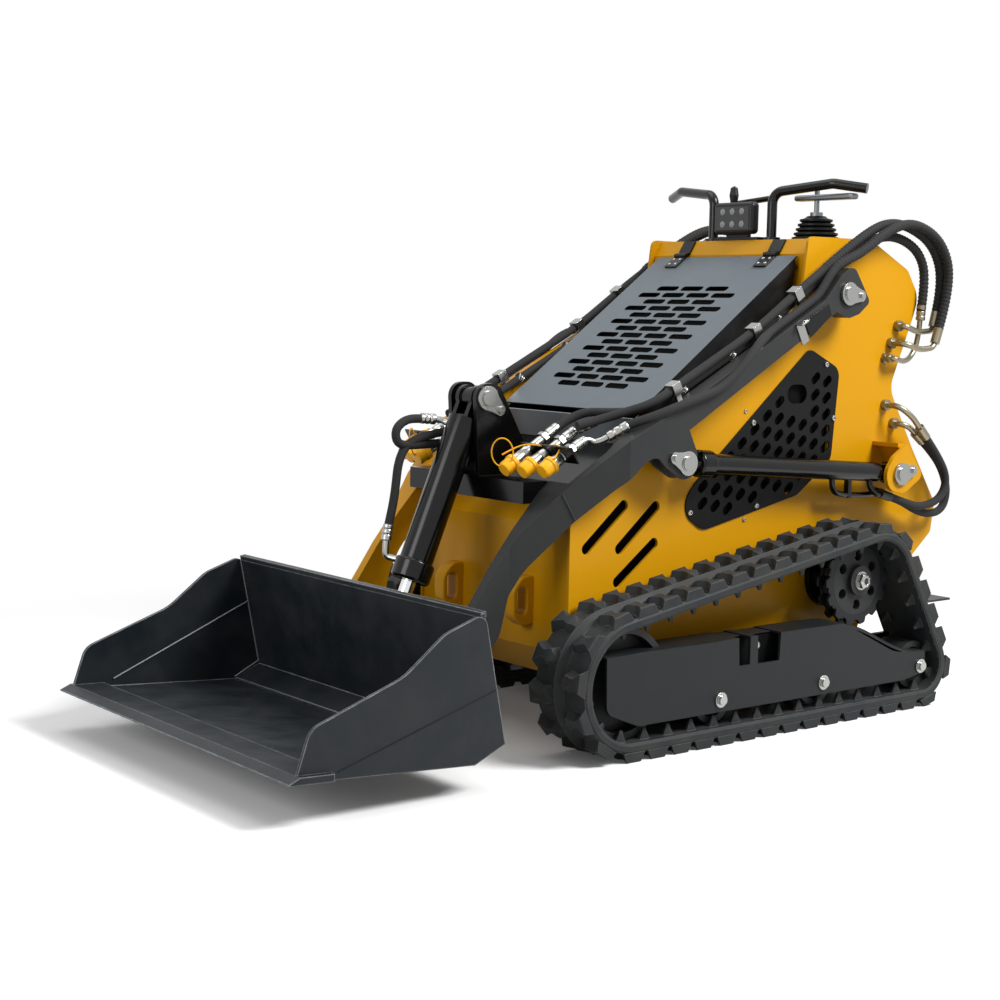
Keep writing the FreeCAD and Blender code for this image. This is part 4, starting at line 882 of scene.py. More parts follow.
    def build(self) -> None:
        """Make both tracks in place of the plain belts, with their pads flat on the ground."""
        outer = self.pad()
        rows = outer.copies(*self.frames(self.count, 0.0, self.thick)).joined(
            outer.mirrored().copies(*self.frames(self.count, 0.5, self.thick)))
        teeth = [self.tooth().moved((0, y * MM, 0)).copies(*self.frames(self.count, 0.25, 0))
                 for y in self.teeth_at]
        stud = turned(self.stud, 8)
        stud = Surface(stud.points * (1, 1, -1), stud.quads).moved((0, self.studs_at * MM, 0))
        studs = stud.copies(*self.frames(2 * self.count, 0.25, self.inner_half[1][1] - 0.1))
        left = self.belt().joined(rows, *teeth, studs)
        left.points[:, 2] = np.maximum(left.points[:, 2], 0.0)
        for name, surface in (("left", left), ("right", left.mirrored())):
            item = surface.piece("tread_belt_" + name, TRACK_RUBBER, Body.CHASSIS, Slot.TRACK_RUBBER, 30)
            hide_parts("track_" + name)


@dataclass
class TrackDress:
    """The lobed rims and hub nut of the drive wheel, and the folded top of the guard plate.

    Attributes:
        wheel: (x, z) of the drive wheel's axis, mm.
        lobes: how many teeth the rim has.
        bore: the rim's inner radius, mm.
        root: the radius between two teeth, mm.
        tall: how far a tooth stands out, mm.
        rims: (inner, outer side) of each rim from the middle plane, mm.
        hub: the hub's face from the middle plane, mm.
        nut: (radius, height) of the washer and nut with the axle's end, mm.
        outer: the guard plate's outer face from the middle plane, mm.
        deep: how far the folded top reaches inwards, mm.
        sheet: the folded sheet's thickness, mm.
        bend: the outer radius of the fold, mm.
        edges: (x, z) along each straight run of the top edge, mm.
        tail: (x, z) where the edge leaves the flat and where it ends, mm.
        ledge: the corners of the step below the edge's notch, mm.
        notch_shade: the corners of the black sheet of painted shade behind the notch, mm.
    """

    wheel: Tuple[float, float] = (-635.0, 350.0)
    lobes: int = 14
    bore: float = 92.0
    root: float = 109.0
    tall: float = 13.0
    rims: Profile = ((402, 411), (372, 381))
    hub: float = 423.5
    nut: Profile = ((0, 0), (25, 0), (25, 3), (18, 3), (18, 16), (15, 19), (9, 19), (8, 16), (0, 16))
    outer: float = 478.0
    deep: float = 96.0
    sheet: float = 6.0
    bend: float = 10.0
    edges: Tuple[Profile, ...] = (
        ((306, 252.5), (200, 255), (0, 256), (-123, 256.5)),
        ((-166, 256.5), (-190, 256.5)),
        ((-275, 256.5), (-400, 256.5), (-495, 256)),
    )
    tail: Profile = ((-496, 255.5), (-836, 152.5))
    ledge: Route = ((-120, 440, 254), (-345, 440, 254), (-345, 382, 254), (-120, 382, 254))
    notch_shade: Route = ((-120, 440, 150), (-360, 440, 150), (-360, 440, 252), (-120, 440, 252))

    def rim(self, low: float, high: float) -> Surface:
        """A ring whose outer radius is root + tall * clip(0.5 + 1.1 cos(lobes * a), 0, 1).

        Args:
            low: its inner side's y, mm.
            high: its outer side's y, mm.

        Returns:
            The ring.
        """
        angle = full_turn(self.lobes * 16)
        reach = self.root + self.tall * np.clip(0.5 + 1.1 * np.cos(self.lobes * angle), 0, 1)
        inner = np.full_like(angle, self.bore)
        radius = np.stack([inner, reach - 2, reach, reach, reach - 2, inner], -1)
        level = np.broadcast_to([high, high, high - 2, low + 2, low, low], radius.shape)
        angle = angle[:, None]
        spots = [self.wheel[0] + radius * np.cos(angle), level, self.wheel[1] + radius * np.sin(angle)]
        return grid(metres(np.stack(spots, -1)), True, True)

    def fold(self, rows: Profile) -> Surface:
        """A sheet that follows the guard's top edge and turns inwards over a quarter round.

        Args:
            rows: (x, z) along the edge, mm.

        Returns:
            The folded sheet, with both ends closed to a point.
        """
        edge = np.array(rows, float)
        ahead = unit(np.gradient(edge, axis=0))
        up = np.stack([-ahead[:, 1], ahead[:, 0]], -1)
        up = up * np.sign(up[:, 1:])
        turn = np.linspace(0, np.pi / 2, 6)
        inside = self.bend - self.sheet
        corner, back = self.outer - self.bend, self.outer - self.deep
        side = np.concatenate([
            corner + self.bend * np.cos(turn), [back, back], corner + inside * np.cos(turn[::-1])])
        rise = np.concatenate([
            -self.bend + self.bend * np.sin(turn), [0, -self.sheet],
            -self.bend + inside * np.sin(turn[::-1])])
        lines = edge[:, None] + up[:, None] * rise[None, :, None]
        sides = np.broadcast_to(side, (len(edge), len(side)))
        spots = metres(np.stack([lines[..., 0], sides, lines[..., 1]], -1))
        middle = spots.mean(1, keepdims=True).repeat(len(side), 1)
        return grid(np.concatenate([middle[:1], spots, middle[-1:]]), close_columns=True)

    def build(self) -> None:
        """Make the rims, the nuts, the folded tops and the shade behind the top notches."""
        rims = self.rim(*self.rims[0]).joined(self.rim(*self.rims[1])).both()
        rims.piece("drive_wheel_rims", COVER_ENAMEL, Body.CHASSIS, Slot.BLACK_PAINT, 30)
        spot = metres([(self.wheel[0], self.hub, self.wheel[1])])
        nuts = turned(self.nut, hexagon=(3, 4)).standing(spot, LEFTWARDS).both()
        nuts.piece("drive_wheel_nuts", ZINC_PLATE, Body.CHASSIS, Slot.ZINC_STEEL)
        share = np.linspace(0, 1, 14)
        sink = (0.5 - 0.5 * np.cos(np.pi * share)) ** 0.9
        (x, z), (x_end, z_end) = self.tail
        swept = np.stack([x + (x_end - x) * share, z + (z_end - z) * sink], -1)
        folds = [self.fold(rows) for rows in (*self.edges, swept)]
        folds = folds[0].joined(*folds[1:], plate(self.ledge, 5, (0, 0, -1))).both()
        folds.piece("cover_folds", COVER_ENAMEL, Body.CHASSIS, Slot.BLACK_PAINT, 40)
        # painted shade: a black sheet behind each notch of the cover
        notch_shades = plate(self.notch_shade, 4, (0, -1, 0)).both()
        notch_shades.piece("cover_notch_shades", PAINTED_SHADE, Body.CHASSIS, Slot.BLACK_PLASTIC)


# ------------------------------------------------------------------ hoses
@dataclass
class Hoses:
    """The hydraulic hoses that cross a joint, as smooth lines with spiral guards; routes in mm.

    Attributes:
        radius: a hose's radius, mm.
        sides: how many columns go round a hose.
        pitch: the spacing of a spiral guard's turns, mm.
        proud: how far the guard stands out, mm.
        loop_inner: the inner hose over the arm's pivot.
        loop_outer: the outer one, down to the clamp on the arm.
        third: the third one, from its union along the arm to its coupler.
        low: the lower hose behind the lift cylinder.
        side: the hose beside it.
        tilt_upper: the hose to the tilt cylinder's upper port.
        tilt_lower: the hose to its lower port.
        tilt_sleeves: (one end, the other, radius) of the crimped ends at the two ports.
        tilt_elbows: the bent pipes from those ends into the ports.
        union: (radius, height) of the third union's body, mm.
        union_at: where that union stands on the left side panel.
        third_pipe: the bent pipe from it up to the third hose.
        third_sleeve: (one end, the other, radius) of the crimped end there.
        rings_at: (x, z) of the rings that hold the third hose on the arm.
    """

    radius: float = 11
    sides: int = 14
    pitch: float = 11
    proud: float = 2.2
    loop_inner: Route = (
        (-1016, 330, 1060), (-1040, 330, 1149), (-992, 330, 1244), (-882, 332, 1290), (-790, 334, 1296),
        (-698, 338, 1262), (-560, 340, 1178), (-470, 340, 1122),
    )
    loop_outer: Route = (
        (-998, 356, 1014), (-1046, 356, 1140), (-1000, 356, 1252), (-870, 358, 1302), (-760, 360, 1272),
        (-660, 362, 1212), (-600, 362, 1190), (-554, 362, 1168), (-512, 362, 1117), (-490, 362, 1092),
        (-471, 362, 1081.7),
    )
    third: Route = (
        (-970, 314, 1060), (-986, 314, 1150), (-955, 314, 1220), (-880, 314, 1256), (-800, 314, 1262),
        (-710, 315, 1232), (-575, 317, 1150), (-478, 318, 1094), (-400, 318, 1047), (-330, 318, 1000),
        (-250, 318, 955), (-85, 318, 871), (22, 316, 815), (75, 285, 803), (112, 240, 800),
        (150, 195, 800), (200, 178, 775), (224, 178, 761),
    )
    low: Route = (
        (-800, 345, 565), (-869, 345, 548), (-973, 345, 499), (-1059, 345, 502), (-1083, 345, 560),
        (-1054, 345, 624), (-1004, 345, 673), (-962, 345, 703),
    )
    side: Route = (
        (-800, 371.5, 560), (-866, 371.5, 540), (-932, 371.5, 524), (-1014, 371.5, 540),
        (-1046, 371.5, 592), (-1009, 371.5, 655), (-944, 371.5, 716),
    )
    tilt_upper: Route = (
        (392, -72, 712), (470, -78, 708), (512, -80, 712), (520, -80, 748), (490, -80, 772),
        (452, -78, 775), (424, -70, 772),
    )
    tilt_lower: Route = (
        (378, -60, 742), (420, -70, 735), (480, -80, 716), (508, -80, 674), (516, -80, 600),
        (526, -80, 548), (538, -78, 510),
    )
    tilt_sleeves: Tuple[Tuple[Point, Point, float], ...] = (
        ((536, -78, 517), (544, -76, 478), 13.5),
        ((446, -77, 775), (408, -66, 772), 13.5),
    )
    tilt_elbows: Tuple[Route, ...] = (
        ((543, -76, 482), (548, -75, 446), (540, -70, 436), (520, -30, 432)),
        ((412, -67, 772), (394, -60, 771), (385, -50, 765), (380, -20, 752)),
    )
    union: Profile = ((0, 0), (13, 0), (13, 8), (9, 9), (9, 16), (11.5, 17), (11.5, 25), (0, 25))
    union_at: Point = (-839, 300, 932)
    third_pipe: Route = (
        (-970, 313, 1045), (-968, 311, 985), (-945, 311, 940), (-900, 322, 922),
        (-850, 336, 930), (-839, 334, 932), (-839, 318, 932),
    )
    third_sleeve: Tuple[Point, Point, float] = ((-969, 314.2, 1036), (-972, 314.2, 1078), 13)
    rings_at: Profile = ((-385, 1038.5), (-225, 942.5), (-60, 858))

    def plain(self, route: Route) -> Surface:
        """A smooth hose along a route, with a ring every 8 mm."""
        return bent_pipe(route, self.radius, self.sides, step=8)

    def guarded(self, route: Route, stop: float) -> Surface:
        """A hose in a spiral guard: the radius rises and falls with s / pitch minus the angle.

        Args:
            route: the control points.
            stop: the share of the length at which the guard ends.

        Returns:
            The closed tube, with a ring every 2.8 mm.
        """
        line = even(route_points(route), 2.8 * MM)
        along = walked(line) / MM
        wave = 0.5 + 0.5 * np.cos(2 * np.pi * along[:, None] / self.pitch - full_turn(self.sides)[None])
        share = np.clip((stop - along / along[-1]) * 60, 0, 1)[:, None]
        return tube(line, MM * (self.radius + share * self.proud * np.sqrt(wave)), self.sides)

    def joint_hoses(self) -> None:
        """The loops over the arm pivots and the hoses behind the lift cylinders."""
        loops = self.guarded(self.loop_inner, 0.9).joined(
            self.guarded(self.loop_outer, 0.86), self.guarded(self.third, 0.32)).both()
        item = loops.piece("pivot_loops", HOSE_RUBBER, None, Slot.HOSE_RUBBER, 60)
        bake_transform(item)
        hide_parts("hose_loops")
        low = self.plain(self.low).joined(self.plain(self.side))
        for name, surface in (("left", low), ("right", low.mirrored())):
            item = surface.piece("cylinder_hoses_" + name, HOSE_RUBBER, None, Slot.HOSE_RUBBER, 60)
            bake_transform(item)
            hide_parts("lower_hoses_" + name)

    def tilt_lines(self) -> None:
        """The two hoses from the tower to the tilt cylinder's ports, with sleeves and elbows."""
        hoses = self.plain(self.tilt_upper).joined(self.plain(self.tilt_lower))
        item = hoses.piece("tilt_hoses", HOSE_RUBBER, None, Slot.HOSE_RUBBER, 60)
        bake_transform(item)
        zinc = [made for sleeve, elbow in zip(self.tilt_sleeves, self.tilt_elbows)
                for made in (crimped_sleeve(*sleeve), bent_pipe(elbow, 8.5, 12))]
        zinc[0].joined(*zinc[1:]).piece(
            "tilt_fittings", ZINC_PLATE, Body.TILT_BARREL, Slot.ZINC_STEEL)

    def third_fittings(self) -> None:
        """The third union on each side panel with its pipe and sleeve, and the rings on the arm."""
        union = turned(self.union, hexagon=(1, 2, 5, 6)).standing(metres([self.union_at]), LEFTWARDS)
        pipe = bent_pipe(self.third_pipe, 7.5, 12, (0.3, 1.0, 0.1))
        union = union.joined(pipe, crimped_sleeve(*self.third_sleeve)).both()
        union.piece("third_unions", DULL_ZINC, Body.CHASSIS, Slot.ZINC_STEEL)
        rings = [crimped_sleeve((x - 8, 318, z - 4.5), (x + 8, 318, z + 4.5), 13.5)
                 for x, z in self.rings_at]
        rings = rings[0].joined(*rings[1:]).both()
        rings.piece("hose_rings", ZINC_PLATE, Body.LIFT_ARMS, Slot.ZINC_STEEL)

    def build(self) -> None:
        """Make the hoses with their fittings."""
        self.joint_hoses()
        self.tilt_lines()
        self.third_fittings()


@dataclass
class QuickCouplers:
    """Three capped quick couplers a side on a black bracket, with their lanyards; all in mm.

    Attributes:
        lines: (cap end, hose end) of each coupler on the left side.
        elbow: the bent pipe between the outer coupler and its hose.
        sleeves: (one end, the other, radius) of the crimped hose ends.
        loop: (middle, half width, half height) of the lanyard's ring, three vectors.
        cord: the lanyard between the caps.
        bracket: the corners of the bracket that holds the couplers.
    """

    lines: Tuple[Tuple[Point, Point], ...] = (
        ((383, 178, 665), (221, 178, 763)),
        ((370, 230, 664), (211, 230, 757)),
        ((352, 282, 668), (222, 282, 739)),
    )
    elbow: Route = (
        (232, 282, 733.5), (214, 283, 742), (198, 288, 733), (184, 297, 736), (165, 312, 750),
        (152, 321, 760),
    )
    sleeves: Tuple[Tuple[Point, Point, float], ...] = (
        ((170, 307.5, 745.5), (134, 339, 776), 13.5),
        ((205, 234.5, 760.5), (170, 262, 782), 12.8),
    )
    loop: Route = ((392, 182, 708), (20, -16, 0), (4, 4, 34))
    cord: Route = (
        (375, 160, 700), (340, 175, 722), (318, 205, 727), (300, 235, 722), (290, 262, 730),
        (300, 290, 722), (330, 300, 700),
    )
    bracket: Route = ((283, 148, 690), (283, 336, 690), (306, 336, 728), (306, 148, 728))

    def coupler(self, cap: Point, end: Point) -> Tuple[Surface, Surface]:
        """One coupler: the hose end, hexagon, body and sliding collar, and its cap.

        Args:
            cap: the middle of the cap's end, mm.
            end: where the hose goes in, mm.

        Returns:
            The metal part and the cap.
        """
        ahead = np.array(cap) - np.array(end)
        long = float(np.linalg.norm(ahead))
        metal = [(0, 0), (12.5, 0), (13, 2), (13, 12), (11.8, 13), (11.8, 16), (13, 17), (13, 34),
                 (10.5, 36), (10.5, 42), (15, 43), (15, 55), (11.5, 56), (11.5, long - 84),
                 (15.5, long - 82), (15.5, long - 66), (14.6, long - 64), (15.5, long - 62),
                 (15.5, long - 44), (17.5, long - 43), (17.5, long - 30), (0, long - 30)]
        cover = [(0, long - 38), (19.5, long - 38), (22, long - 36), (22, long - 27), (19.5, long - 25),
                 (19.5, long - 6), (17, long), (9, long + 1), (0, long + 1)]
        foot = metres([end])
        return turned(metal, hexagon=(10, 11)).standing(foot, ahead), turned(cover).standing(foot, ahead)

    def build(self) -> None:
        """Make the couplers, the caps, the bracket and the lanyards on both sides."""
        bodies, caps = zip(*[self.coupler(cap, end) for cap, end in self.lines])
        metal = bodies[0].joined(*bodies[1:], bent_pipe(self.elbow, 9, 14, (0.5, 1.0, 0.2)),
                                 *[crimped_sleeve(*sleeve) for sleeve in self.sleeves]).both()
        item = metal.piece("quick_couplers", ZINC_PLATE, Body.LIFT_ARMS, Slot.ZINC_STEEL)
        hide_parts("couplers")
        item = caps[0].joined(*caps[1:]).both().piece(
            "dust_caps", YELLOW_PLASTIC, Body.LIFT_ARMS, Slot.YELLOW_PLASTIC)
        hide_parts("coupler_caps")
        brackets = plate(self.bracket, 4, (0.86, 0, -0.51)).both()
        brackets.piece("coupler_brackets", BLACK_ENAMEL, Body.LIFT_ARMS, Slot.BLACK_PAINT)
        middle, wide, high = metres(self.loop)
        turn = full_turn(40)[:, None]
        ring = middle + np.cos(turn) * wide + np.sin(turn) * high
        loop = tube(np.concatenate([ring, ring[:2]]), 1.7 * MM, 8, (0.62, 0.78, 0.1))
        cord = bent_pipe(self.cord, 2.2, 8, (0.3, 0.2, 1.0))
        loop.joined(cord).both().piece(
            "cap_lanyards", YELLOW_PLASTIC, Body.LIFT_ARMS, Slot.YELLOW_PLASTIC)


# ------------------------------------------------------------------ small hardware
@dataclass
class Hardware:
    """Screws and bolts on the panels, the guards and the hood's hinges.

    Attributes:
        guard_screws: their places on the left vent guard, mm.
        panel_screws: their places on the left side panel, mm.
        cover_bolts: their places on the left track cover's strap, mm.
        hinge_across: how far the hinge screws lie from the middle plane, mm.
        hinge_down: how far they lie down the hood's slope, mm.
        hinge_high: the hinge leaf's top over the hood's face, mm.
    """

    guard_screws: Route = (
        (-601, 304, 916), (-637, 304, 773), (-330, 304, 768), (-114, 304, 547), (-352, 304, 552))
    panel_screws: Route = ((-305, 300, 798), (-312, 300, 519))
    cover_bolts: Route = ((-228, 440, 222),)
    hinge_across: Tuple[float, ...] = (-182, -158, 158, 182)
    hinge_down: Tuple[float, ...] = (18, 40)
    hinge_high: float = 9

    def hex_bolt(self, flat: float) -> Surface:
        """A hexagon head on a washer; flat is half the distance across its flats, mm."""
        profile = [(0, 0), (1.5, 0), (1.5, 1.6 / flat), (1, 1.6 / flat), (1, 0.95), (0.86, 1.1), (0, 1.1)]
        return turned([(flat * r, flat * h) for r, h in profile], hexagon=(3, 4))

    def dome_screw(self, radius: float) -> Surface:
        """A button head: a low dome with a socket; radius in mm."""
        profile = [(0, 0), (1, 0), (1, 0.2), (0.85, 0.5), (0.5, 0.66), (0.4, 0.66), (0.36, 0.3), (0, 0.3)]
        return turned([(radius * r, radius * h) for r, h in profile], 18)

    def build(self) -> None:
        """Put the heads on the guards, panels and covers, and the screws on the hinges."""
        groups = ((self.dome_screw(8), self.guard_screws), (self.dome_screw(6), self.panel_screws),
                  (self.hex_bolt(6.5), self.cover_bolts))
        heads = [head.standing(metres(rows), LEFTWARDS).both() for head, rows in groups]
        heads[0].joined(*heads[1:]).piece("panel_screws", ZINC_PLATE, Body.CHASSIS, Slot.ZINC_STEEL)
        rows = [(down, y, self.hinge_high) for down in self.hinge_down for y in self.hinge_across]
        heads = self.dome_screw(4.6).standing(metres(HOOD_FACE.spots(rows)), HOOD_FACE.normal)
        heads.piece("hinge_screws", ZINC_PLATE, Body.HOOD, Slot.ZINC_STEEL)


@dataclass
class ShadeSheets:
    """Black sheets of painted shade behind the vent holes, under the cowl and under the hood's slots.

    Attributes:
        vent: the corners behind the left vent guard, mm.
        apron: the corners under the cowl's front, mm.
        hood: (down, across, above) of the corners under the hood, mm.
        thick: each sheet's thickness, mm.
    """

    vent: Route = ((-650, 288, 900), (-535, 288, 955), (-90, 288, 535), (-640, 288, 540))
    apron: Route = ((-34, -246, 800), (-34, 246, 800), (-70, 246, 722), (-70, -246, 722))
    hood: Route = ((110, -230, -22), (110, 230, -22), (620, 230, -22), (620, -230, -22))
    thick: float = 2

    def build(self) -> None:
        """Put painted shade behind both engine vents, in the gap under the cowl and on the underside of the
        hood.
        """
        inwards = tuple(-c for c in HOOD_FACE.normal)
        for name, sheet, body in (
            ("vent_shade_sheet", plate(self.vent, self.thick, (0, -1, 0)).both(), Body.CHASSIS),
            ("apron_shade_sheet", plate(self.apron, self.thick, (-1, 0, 0)), Body.CHASSIS),
            ("hood_shade_sheet", plate(HOOD_FACE.spots(self.hood), self.thick, inwards), Body.HOOD),
        ):
            sheet.piece(name, PAINTED_SHADE, body, Slot.BLACK_PLASTIC)


@dataclass
class WorkLamp:
    """The lamp's glass and its six cells.

    Attributes:
        face: the x of the lamp's front, mm.
        low: its lower edge, mm.
        high: its upper edge, mm.
        half: half its width, mm.
        bezel: the width of the frame round the glass, mm.
        cell: (radius, height) of one domed cell, mm.
        across: where the columns of cells stand, mm.
        levels: how high the rows of cells stand, mm.
    """

    face: float = -540.0
    low: float = 1261.0
    high: float = 1348.0
    half: float = 73.0
    bezel: float = 12.0
    cell: Profile = ((0, 0), (9, 0), (9, 0.6), (6.5, 1.6), (3, 2.4), (0, 2.6))
    across: Tuple[float, ...] = (-36, 0, 36)
    levels: Tuple[float, ...] = (1288, 1322)

    def build(self) -> None:
        """A glass pane inside the bezel with six domed cells on it."""
        x, y = self.face + 0.4, self.half - self.bezel
        low, high = self.low + self.bezel, self.high - self.bezel
        pane = plate([(x, -y, low), (x, y, low), (x, y, high), (x, -y, high)], 1.2, (-1, 0, 0))
        pane.piece("lamp_pane", LAMP_GLASS, Body.CHASSIS, Slot.BLACK_PLASTIC)
        rows = metres([(self.face + 0.5, y, z) for y in self.across for z in self.levels])
        cells = turned(self.cell, 18).standing(rows, (1.0, 0.0, 0.0))
        cells.piece("lamp_cells", LAMP_CELL, Body.CHASSIS, Slot.BLACK_PLASTIC)


@dataclass
class Welds:
    """Weld beads on the arms and the bucket, and the black plates on the arms.

    Attributes:
        ripple: how far apart a bead's ripples are.
        arm: the ends of the bead where the left arm's foot plates meet, mm.
        inside: the ends of the beads inside the bucket, mm.
        outside: the ends of the bead on the bucket's left side, mm.
        arm_plate: the corners of the left arm's black plate, mm.
    """

    ripple: float = 0.004
    arm: Route = ((312, 311.5, 616), (283, 326, 553))
    inside: Tuple[Route, ...] = (
        ((671, -508, 282), (1059, -508, 118)), ((646, -508, 121), (700, -508, 388)),
        ((646, -508, 119), (716, -508, 84)), ((716, -500, 82), (716, 500, 82)),
        ((646, 508, 121), (700, 508, 388)), ((646, 508, 119), (716, 508, 84)),
    )
    outside: Route = ((664, 517, 228), (1067, 517, 108))
    arm_plate: Route = ((-420, 384, 1031), (-510, 384, 1074), (-523, 384, 1046), (-445, 384, 987))

    def bead(self, ends: Route, radius: float) -> Surface:
        """A rippled bead: the radius is r (1 + 0.12 cos(2 pi s / ripple)) along the line.

        Args:
            ends: both ends, mm.
            radius: the bead's radius, mm.

        Returns:
            The bead as a closed tube, with a ring every 1.5 mm.
        """
        line = even(metres(ends), 0.0015)
        along = np.linspace(0, np.linalg.norm(line[-1] - line[0]), len(line))
        wave = 1 + 0.12 * np.cos(along * 2 * np.pi / self.ripple)
        return tube(line, radius * MM * wave, 10, (0.3, 1.0, 0.2))

    def build(self) -> None:
        """Lay the beads and fix the plates."""
        bead = self.bead(self.arm, 2.6)
        bead.piece("arm_weld_left", CHARCOAL_ENAMEL, Body.LIFT_ARMS, Slot.CHARCOAL_PAINT)
        bead.mirrored().piece("arm_weld_right", YELLOW_ENAMEL, Body.LIFT_ARMS, Slot.YELLOW_PAINT)
        seams = [self.bead(ends, 2.2) for ends in self.inside]
        seams[0].joined(*seams[1:]).piece("bucket_seams", WELD_STEEL, Body.BUCKET, Slot.BARE_STEEL)
        outside = self.bead(self.outside, 1.6).both()
        outside.piece("bucket_side_seams", GUARD_ENAMEL, Body.BUCKET, Slot.CHARCOAL_PAINT)
        plates = plate(self.arm_plate, 1.5, LEFTWARDS).both()
        plates.piece("arm_black_plates", BLACK_ENAMEL, Body.LIFT_ARMS, Slot.BLACK_PAINT)


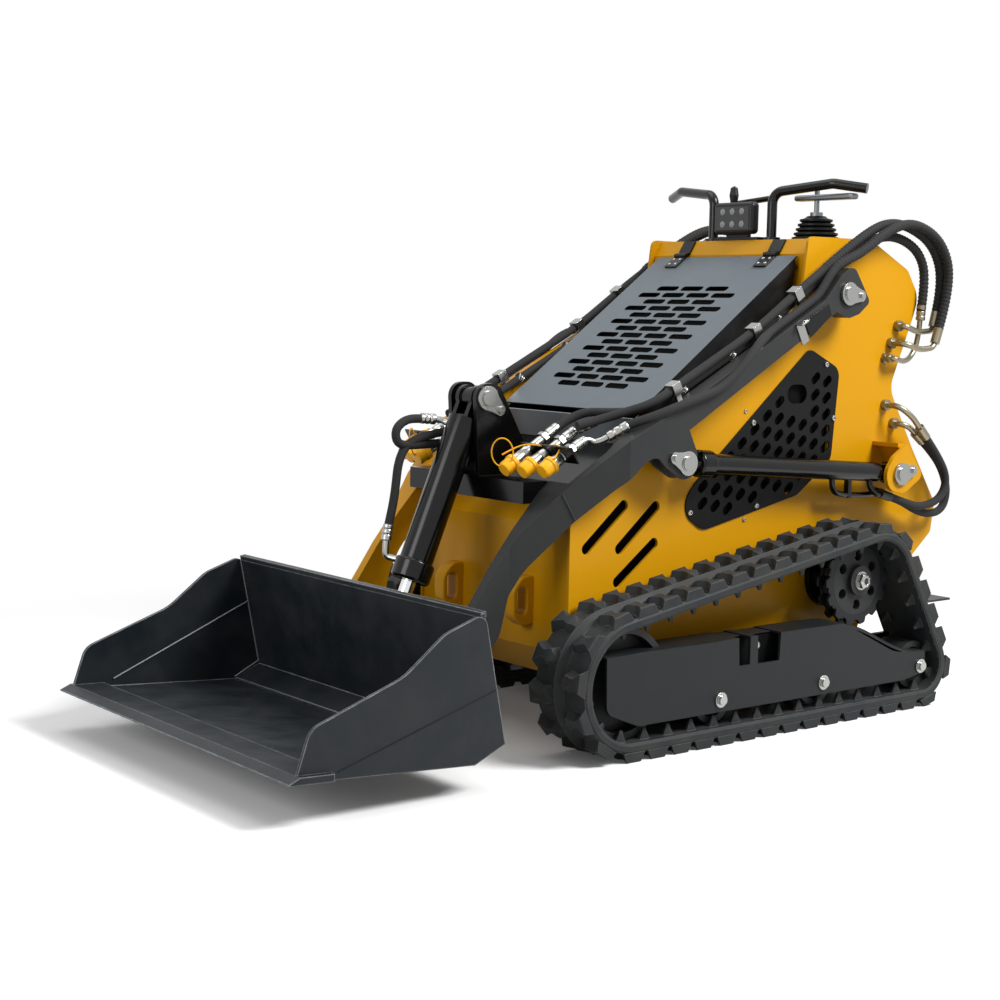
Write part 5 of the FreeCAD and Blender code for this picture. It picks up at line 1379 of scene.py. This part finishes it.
# ------------------------------------------------------------------ studio
@dataclass
class Studio:
    """The camera, the pale floor, the world and the soft lamps.

    Attributes:
        place: where the camera stands.
        yaw: its heading from X towards Y.
        pitch: how far it looks down.
        roll: its turn about its own axis.
        lens: its focal length on a sensor 36 mm wide, mm.
        paper: the floor's colour to the camera.
        bounce: the floor's colour to the light that it throws back.
        glow: the light that the floor adds of its own.
        middle: where the floor's shadow part is centred.
        fade: the distances between which the floor turns plain white.
        sky: the strength of the light from all round.
        lamps: (name, place, target, side, watts) of each lamp.
    """

    place: Point = (2.999, 3.466, 1.047)
    yaw: float = math.radians(231.6)
    pitch: float = math.radians(6.16)
    roll: float = math.radians(1.10)
    lens: float = 63.9
    paper: str = "#f4f4f4"
    bounce: str = "#a8a8a8"
    glow: float = 0.04
    middle: Point = (-0.1, 0.2, 0.0)
    fade: Tuple[float, float] = (1.95, 2.75)
    sky: float = 0.33
    lamps: Tuple[Tuple[str, Point, Point, float, float], ...] = (
        ("side_lamp", (-2.0, 3.7, 4.7), (0, 0, 0.5), 2.0, 450),
        ("top_lamp", (0.6, -0.8, 4.6), (0, 0, 0.5), 3.0, 60),
        ("front_lamp", (4.5, 0.5, 2.2), (0.3, 0, 0.5), 2.0, 62),
    )

    def camera(self) -> None:
        """Put the camera at its place, with its axes worked out from yaw, pitch and roll."""
        flat = math.cos(self.pitch)
        ahead = Vector((flat * math.cos(self.yaw), flat * math.sin(self.yaw), -math.sin(self.pitch)))
        level = ahead.cross(Vector((0, 0, 1))).normalized()
        upright = level.cross(ahead)
        right = level * math.cos(self.roll) + upright * math.sin(self.roll)
        up = upright * math.cos(self.roll) - level * math.sin(self.roll)
        data = bpy.data.cameras.new("camera")
        data.lens, data.sensor_width, data.clip_end = self.lens, 36.0, 200.0
        item = bpy.data.objects.new("camera", data)
        turn = Matrix((right, up, -ahead)).transposed().to_4x4()
        item.matrix_world = Matrix.Translation(self.place) @ turn
        bpy.context.scene.collection.objects.link(item)
        bpy.context.scene.camera = item

    def seen(self, tree: Tree) -> Socket:
        """Tell what is looked at from what is only lit.

        Args:
            tree: the material's or the world's tree.

        Returns:
            1 for the camera, in mirror reflections and through glass, 0 for the rest.
        """
        path = add_node(tree, "LightPath")
        glossy = add_node(tree, "Math", {"operation": "MAXIMUM"}, {
            0: path.outputs["Is Camera Ray"], 1: path.outputs["Is Glossy Ray"]})
        return add_node(tree, "Math", {"operation": "MAXIMUM"}, {
            0: glossy.outputs[0], 1: path.outputs["Is Transmission Ray"]}).outputs[0]

    def floor(self, reach: float = 40.0) -> None:
        """A wide pale floor that keeps the shadow and looks white round it.

        Args:
            reach: how far it goes each way.
        """
        mesh = bpy.data.meshes.new("studio_floor")
        corners = [(-reach, -reach, 0), (reach, -reach, 0), (reach, reach, 0), (-reach, reach, 0)]
        mesh.from_pydata(corners, [], [(0, 1, 2, 3)])
        item = bpy.data.objects.new("studio_floor", mesh)
        bpy.context.scene.collection.objects.link(item)
        made = bpy.data.materials.new("studio_paper")
        made.use_nodes = True
        tree = made.node_tree
        tree.nodes.clear()
        shown = add_node(tree, "BsdfDiffuse", {"Color": linear(self.paper)})
        bounce = add_node(tree, "BsdfDiffuse", {"Color": linear(self.bounce)})
        glow = add_node(tree, "Emission", {"Color": (1, 1, 1, 1), "Strength": self.glow})
        bright = add_node(tree, "AddShader", {}, {0: shown.outputs[0], 1: glow.outputs[0]})
        white = add_node(tree, "Emission", {"Color": (1, 1, 1, 1), "Strength": 1.0})
        spot = add_node(tree, "TexCoord")
        away = add_node(tree, "VectorMath", {"operation": "DISTANCE", 1: self.middle},
                        {0: spot.outputs["Object"]})
        fading = {"From Min": self.fade[0], "From Max": self.fade[1], "interpolation_type": "SMOOTHSTEP"}
        far = add_node(tree, "MapRange", fading, {"Value": away.outputs["Value"]})
        faded = add_node(tree, "MixShader", {}, {
            0: far.outputs["Result"], 1: bright.outputs[0], 2: white.outputs[0]})
        both = add_node(tree, "MixShader", {}, {
            0: self.seen(tree), 1: bounce.outputs[0], 2: faded.outputs[0]})
        add_node(tree, "OutputMaterial", links={"Surface": both.outputs[0]})
        mesh.materials.append(made)

    def world(self) -> None:
        """A grey sky for light, white to the camera and in reflections."""
        world = bpy.data.worlds.new("studio")
        bpy.context.scene.world = world
        world.use_nodes = True
        tree = world.node_tree
        tree.nodes.clear()
        strength = add_node(tree, "MapRange", {"To Min": self.sky, "To Max": 1.0},
                            {"Value": self.seen(tree)})
        sky = add_node(tree, "Background", {"Color": (1, 1, 1, 1)}, {"Strength": strength.outputs[0]})
        add_node(tree, "OutputWorld", links={"Surface": sky.outputs[0]})

    def lamp(self, name: str, place: Point, target: Point, wide: float, power: float) -> None:
        """Hang one square soft lamp.

        Args:
            name: the lamp's name.
            place: where it hangs.
            target: the point that it faces.
            wide: its side.
            power: its power in watts.
        """
        data = bpy.data.lights.new(name, "AREA")
        data.shape, data.size, data.energy = "SQUARE", wide, power
        item = bpy.data.objects.new(name, data)
        turn = (Vector(target) - Vector(place)).to_track_quat("-Z", "Y")
        item.matrix_world = Matrix.Translation(place) @ turn.to_matrix().to_4x4()
        bpy.context.scene.collection.objects.link(item)

    def build(self) -> None:
        """Make the camera, the floor, the world and the lamps."""
        bpy.context.scene.view_settings.view_transform = "Standard"
        self.camera()
        self.floor()
        self.world()
        for row in self.lamps:
            self.lamp(*row)
        LOG.info("studio ready")


def main() -> None:
    """Build the classes in order."""
    logging.basicConfig(level=logging.INFO, format="%(message)s")
    Studio().build()
    dress_nodes()
    for maker in (Track, TrackDress, Hoses, QuickCouplers, Hardware, ShadeSheets, WorkLamp, Welds):
        maker().build()


if __name__ == "__main__":
    main()
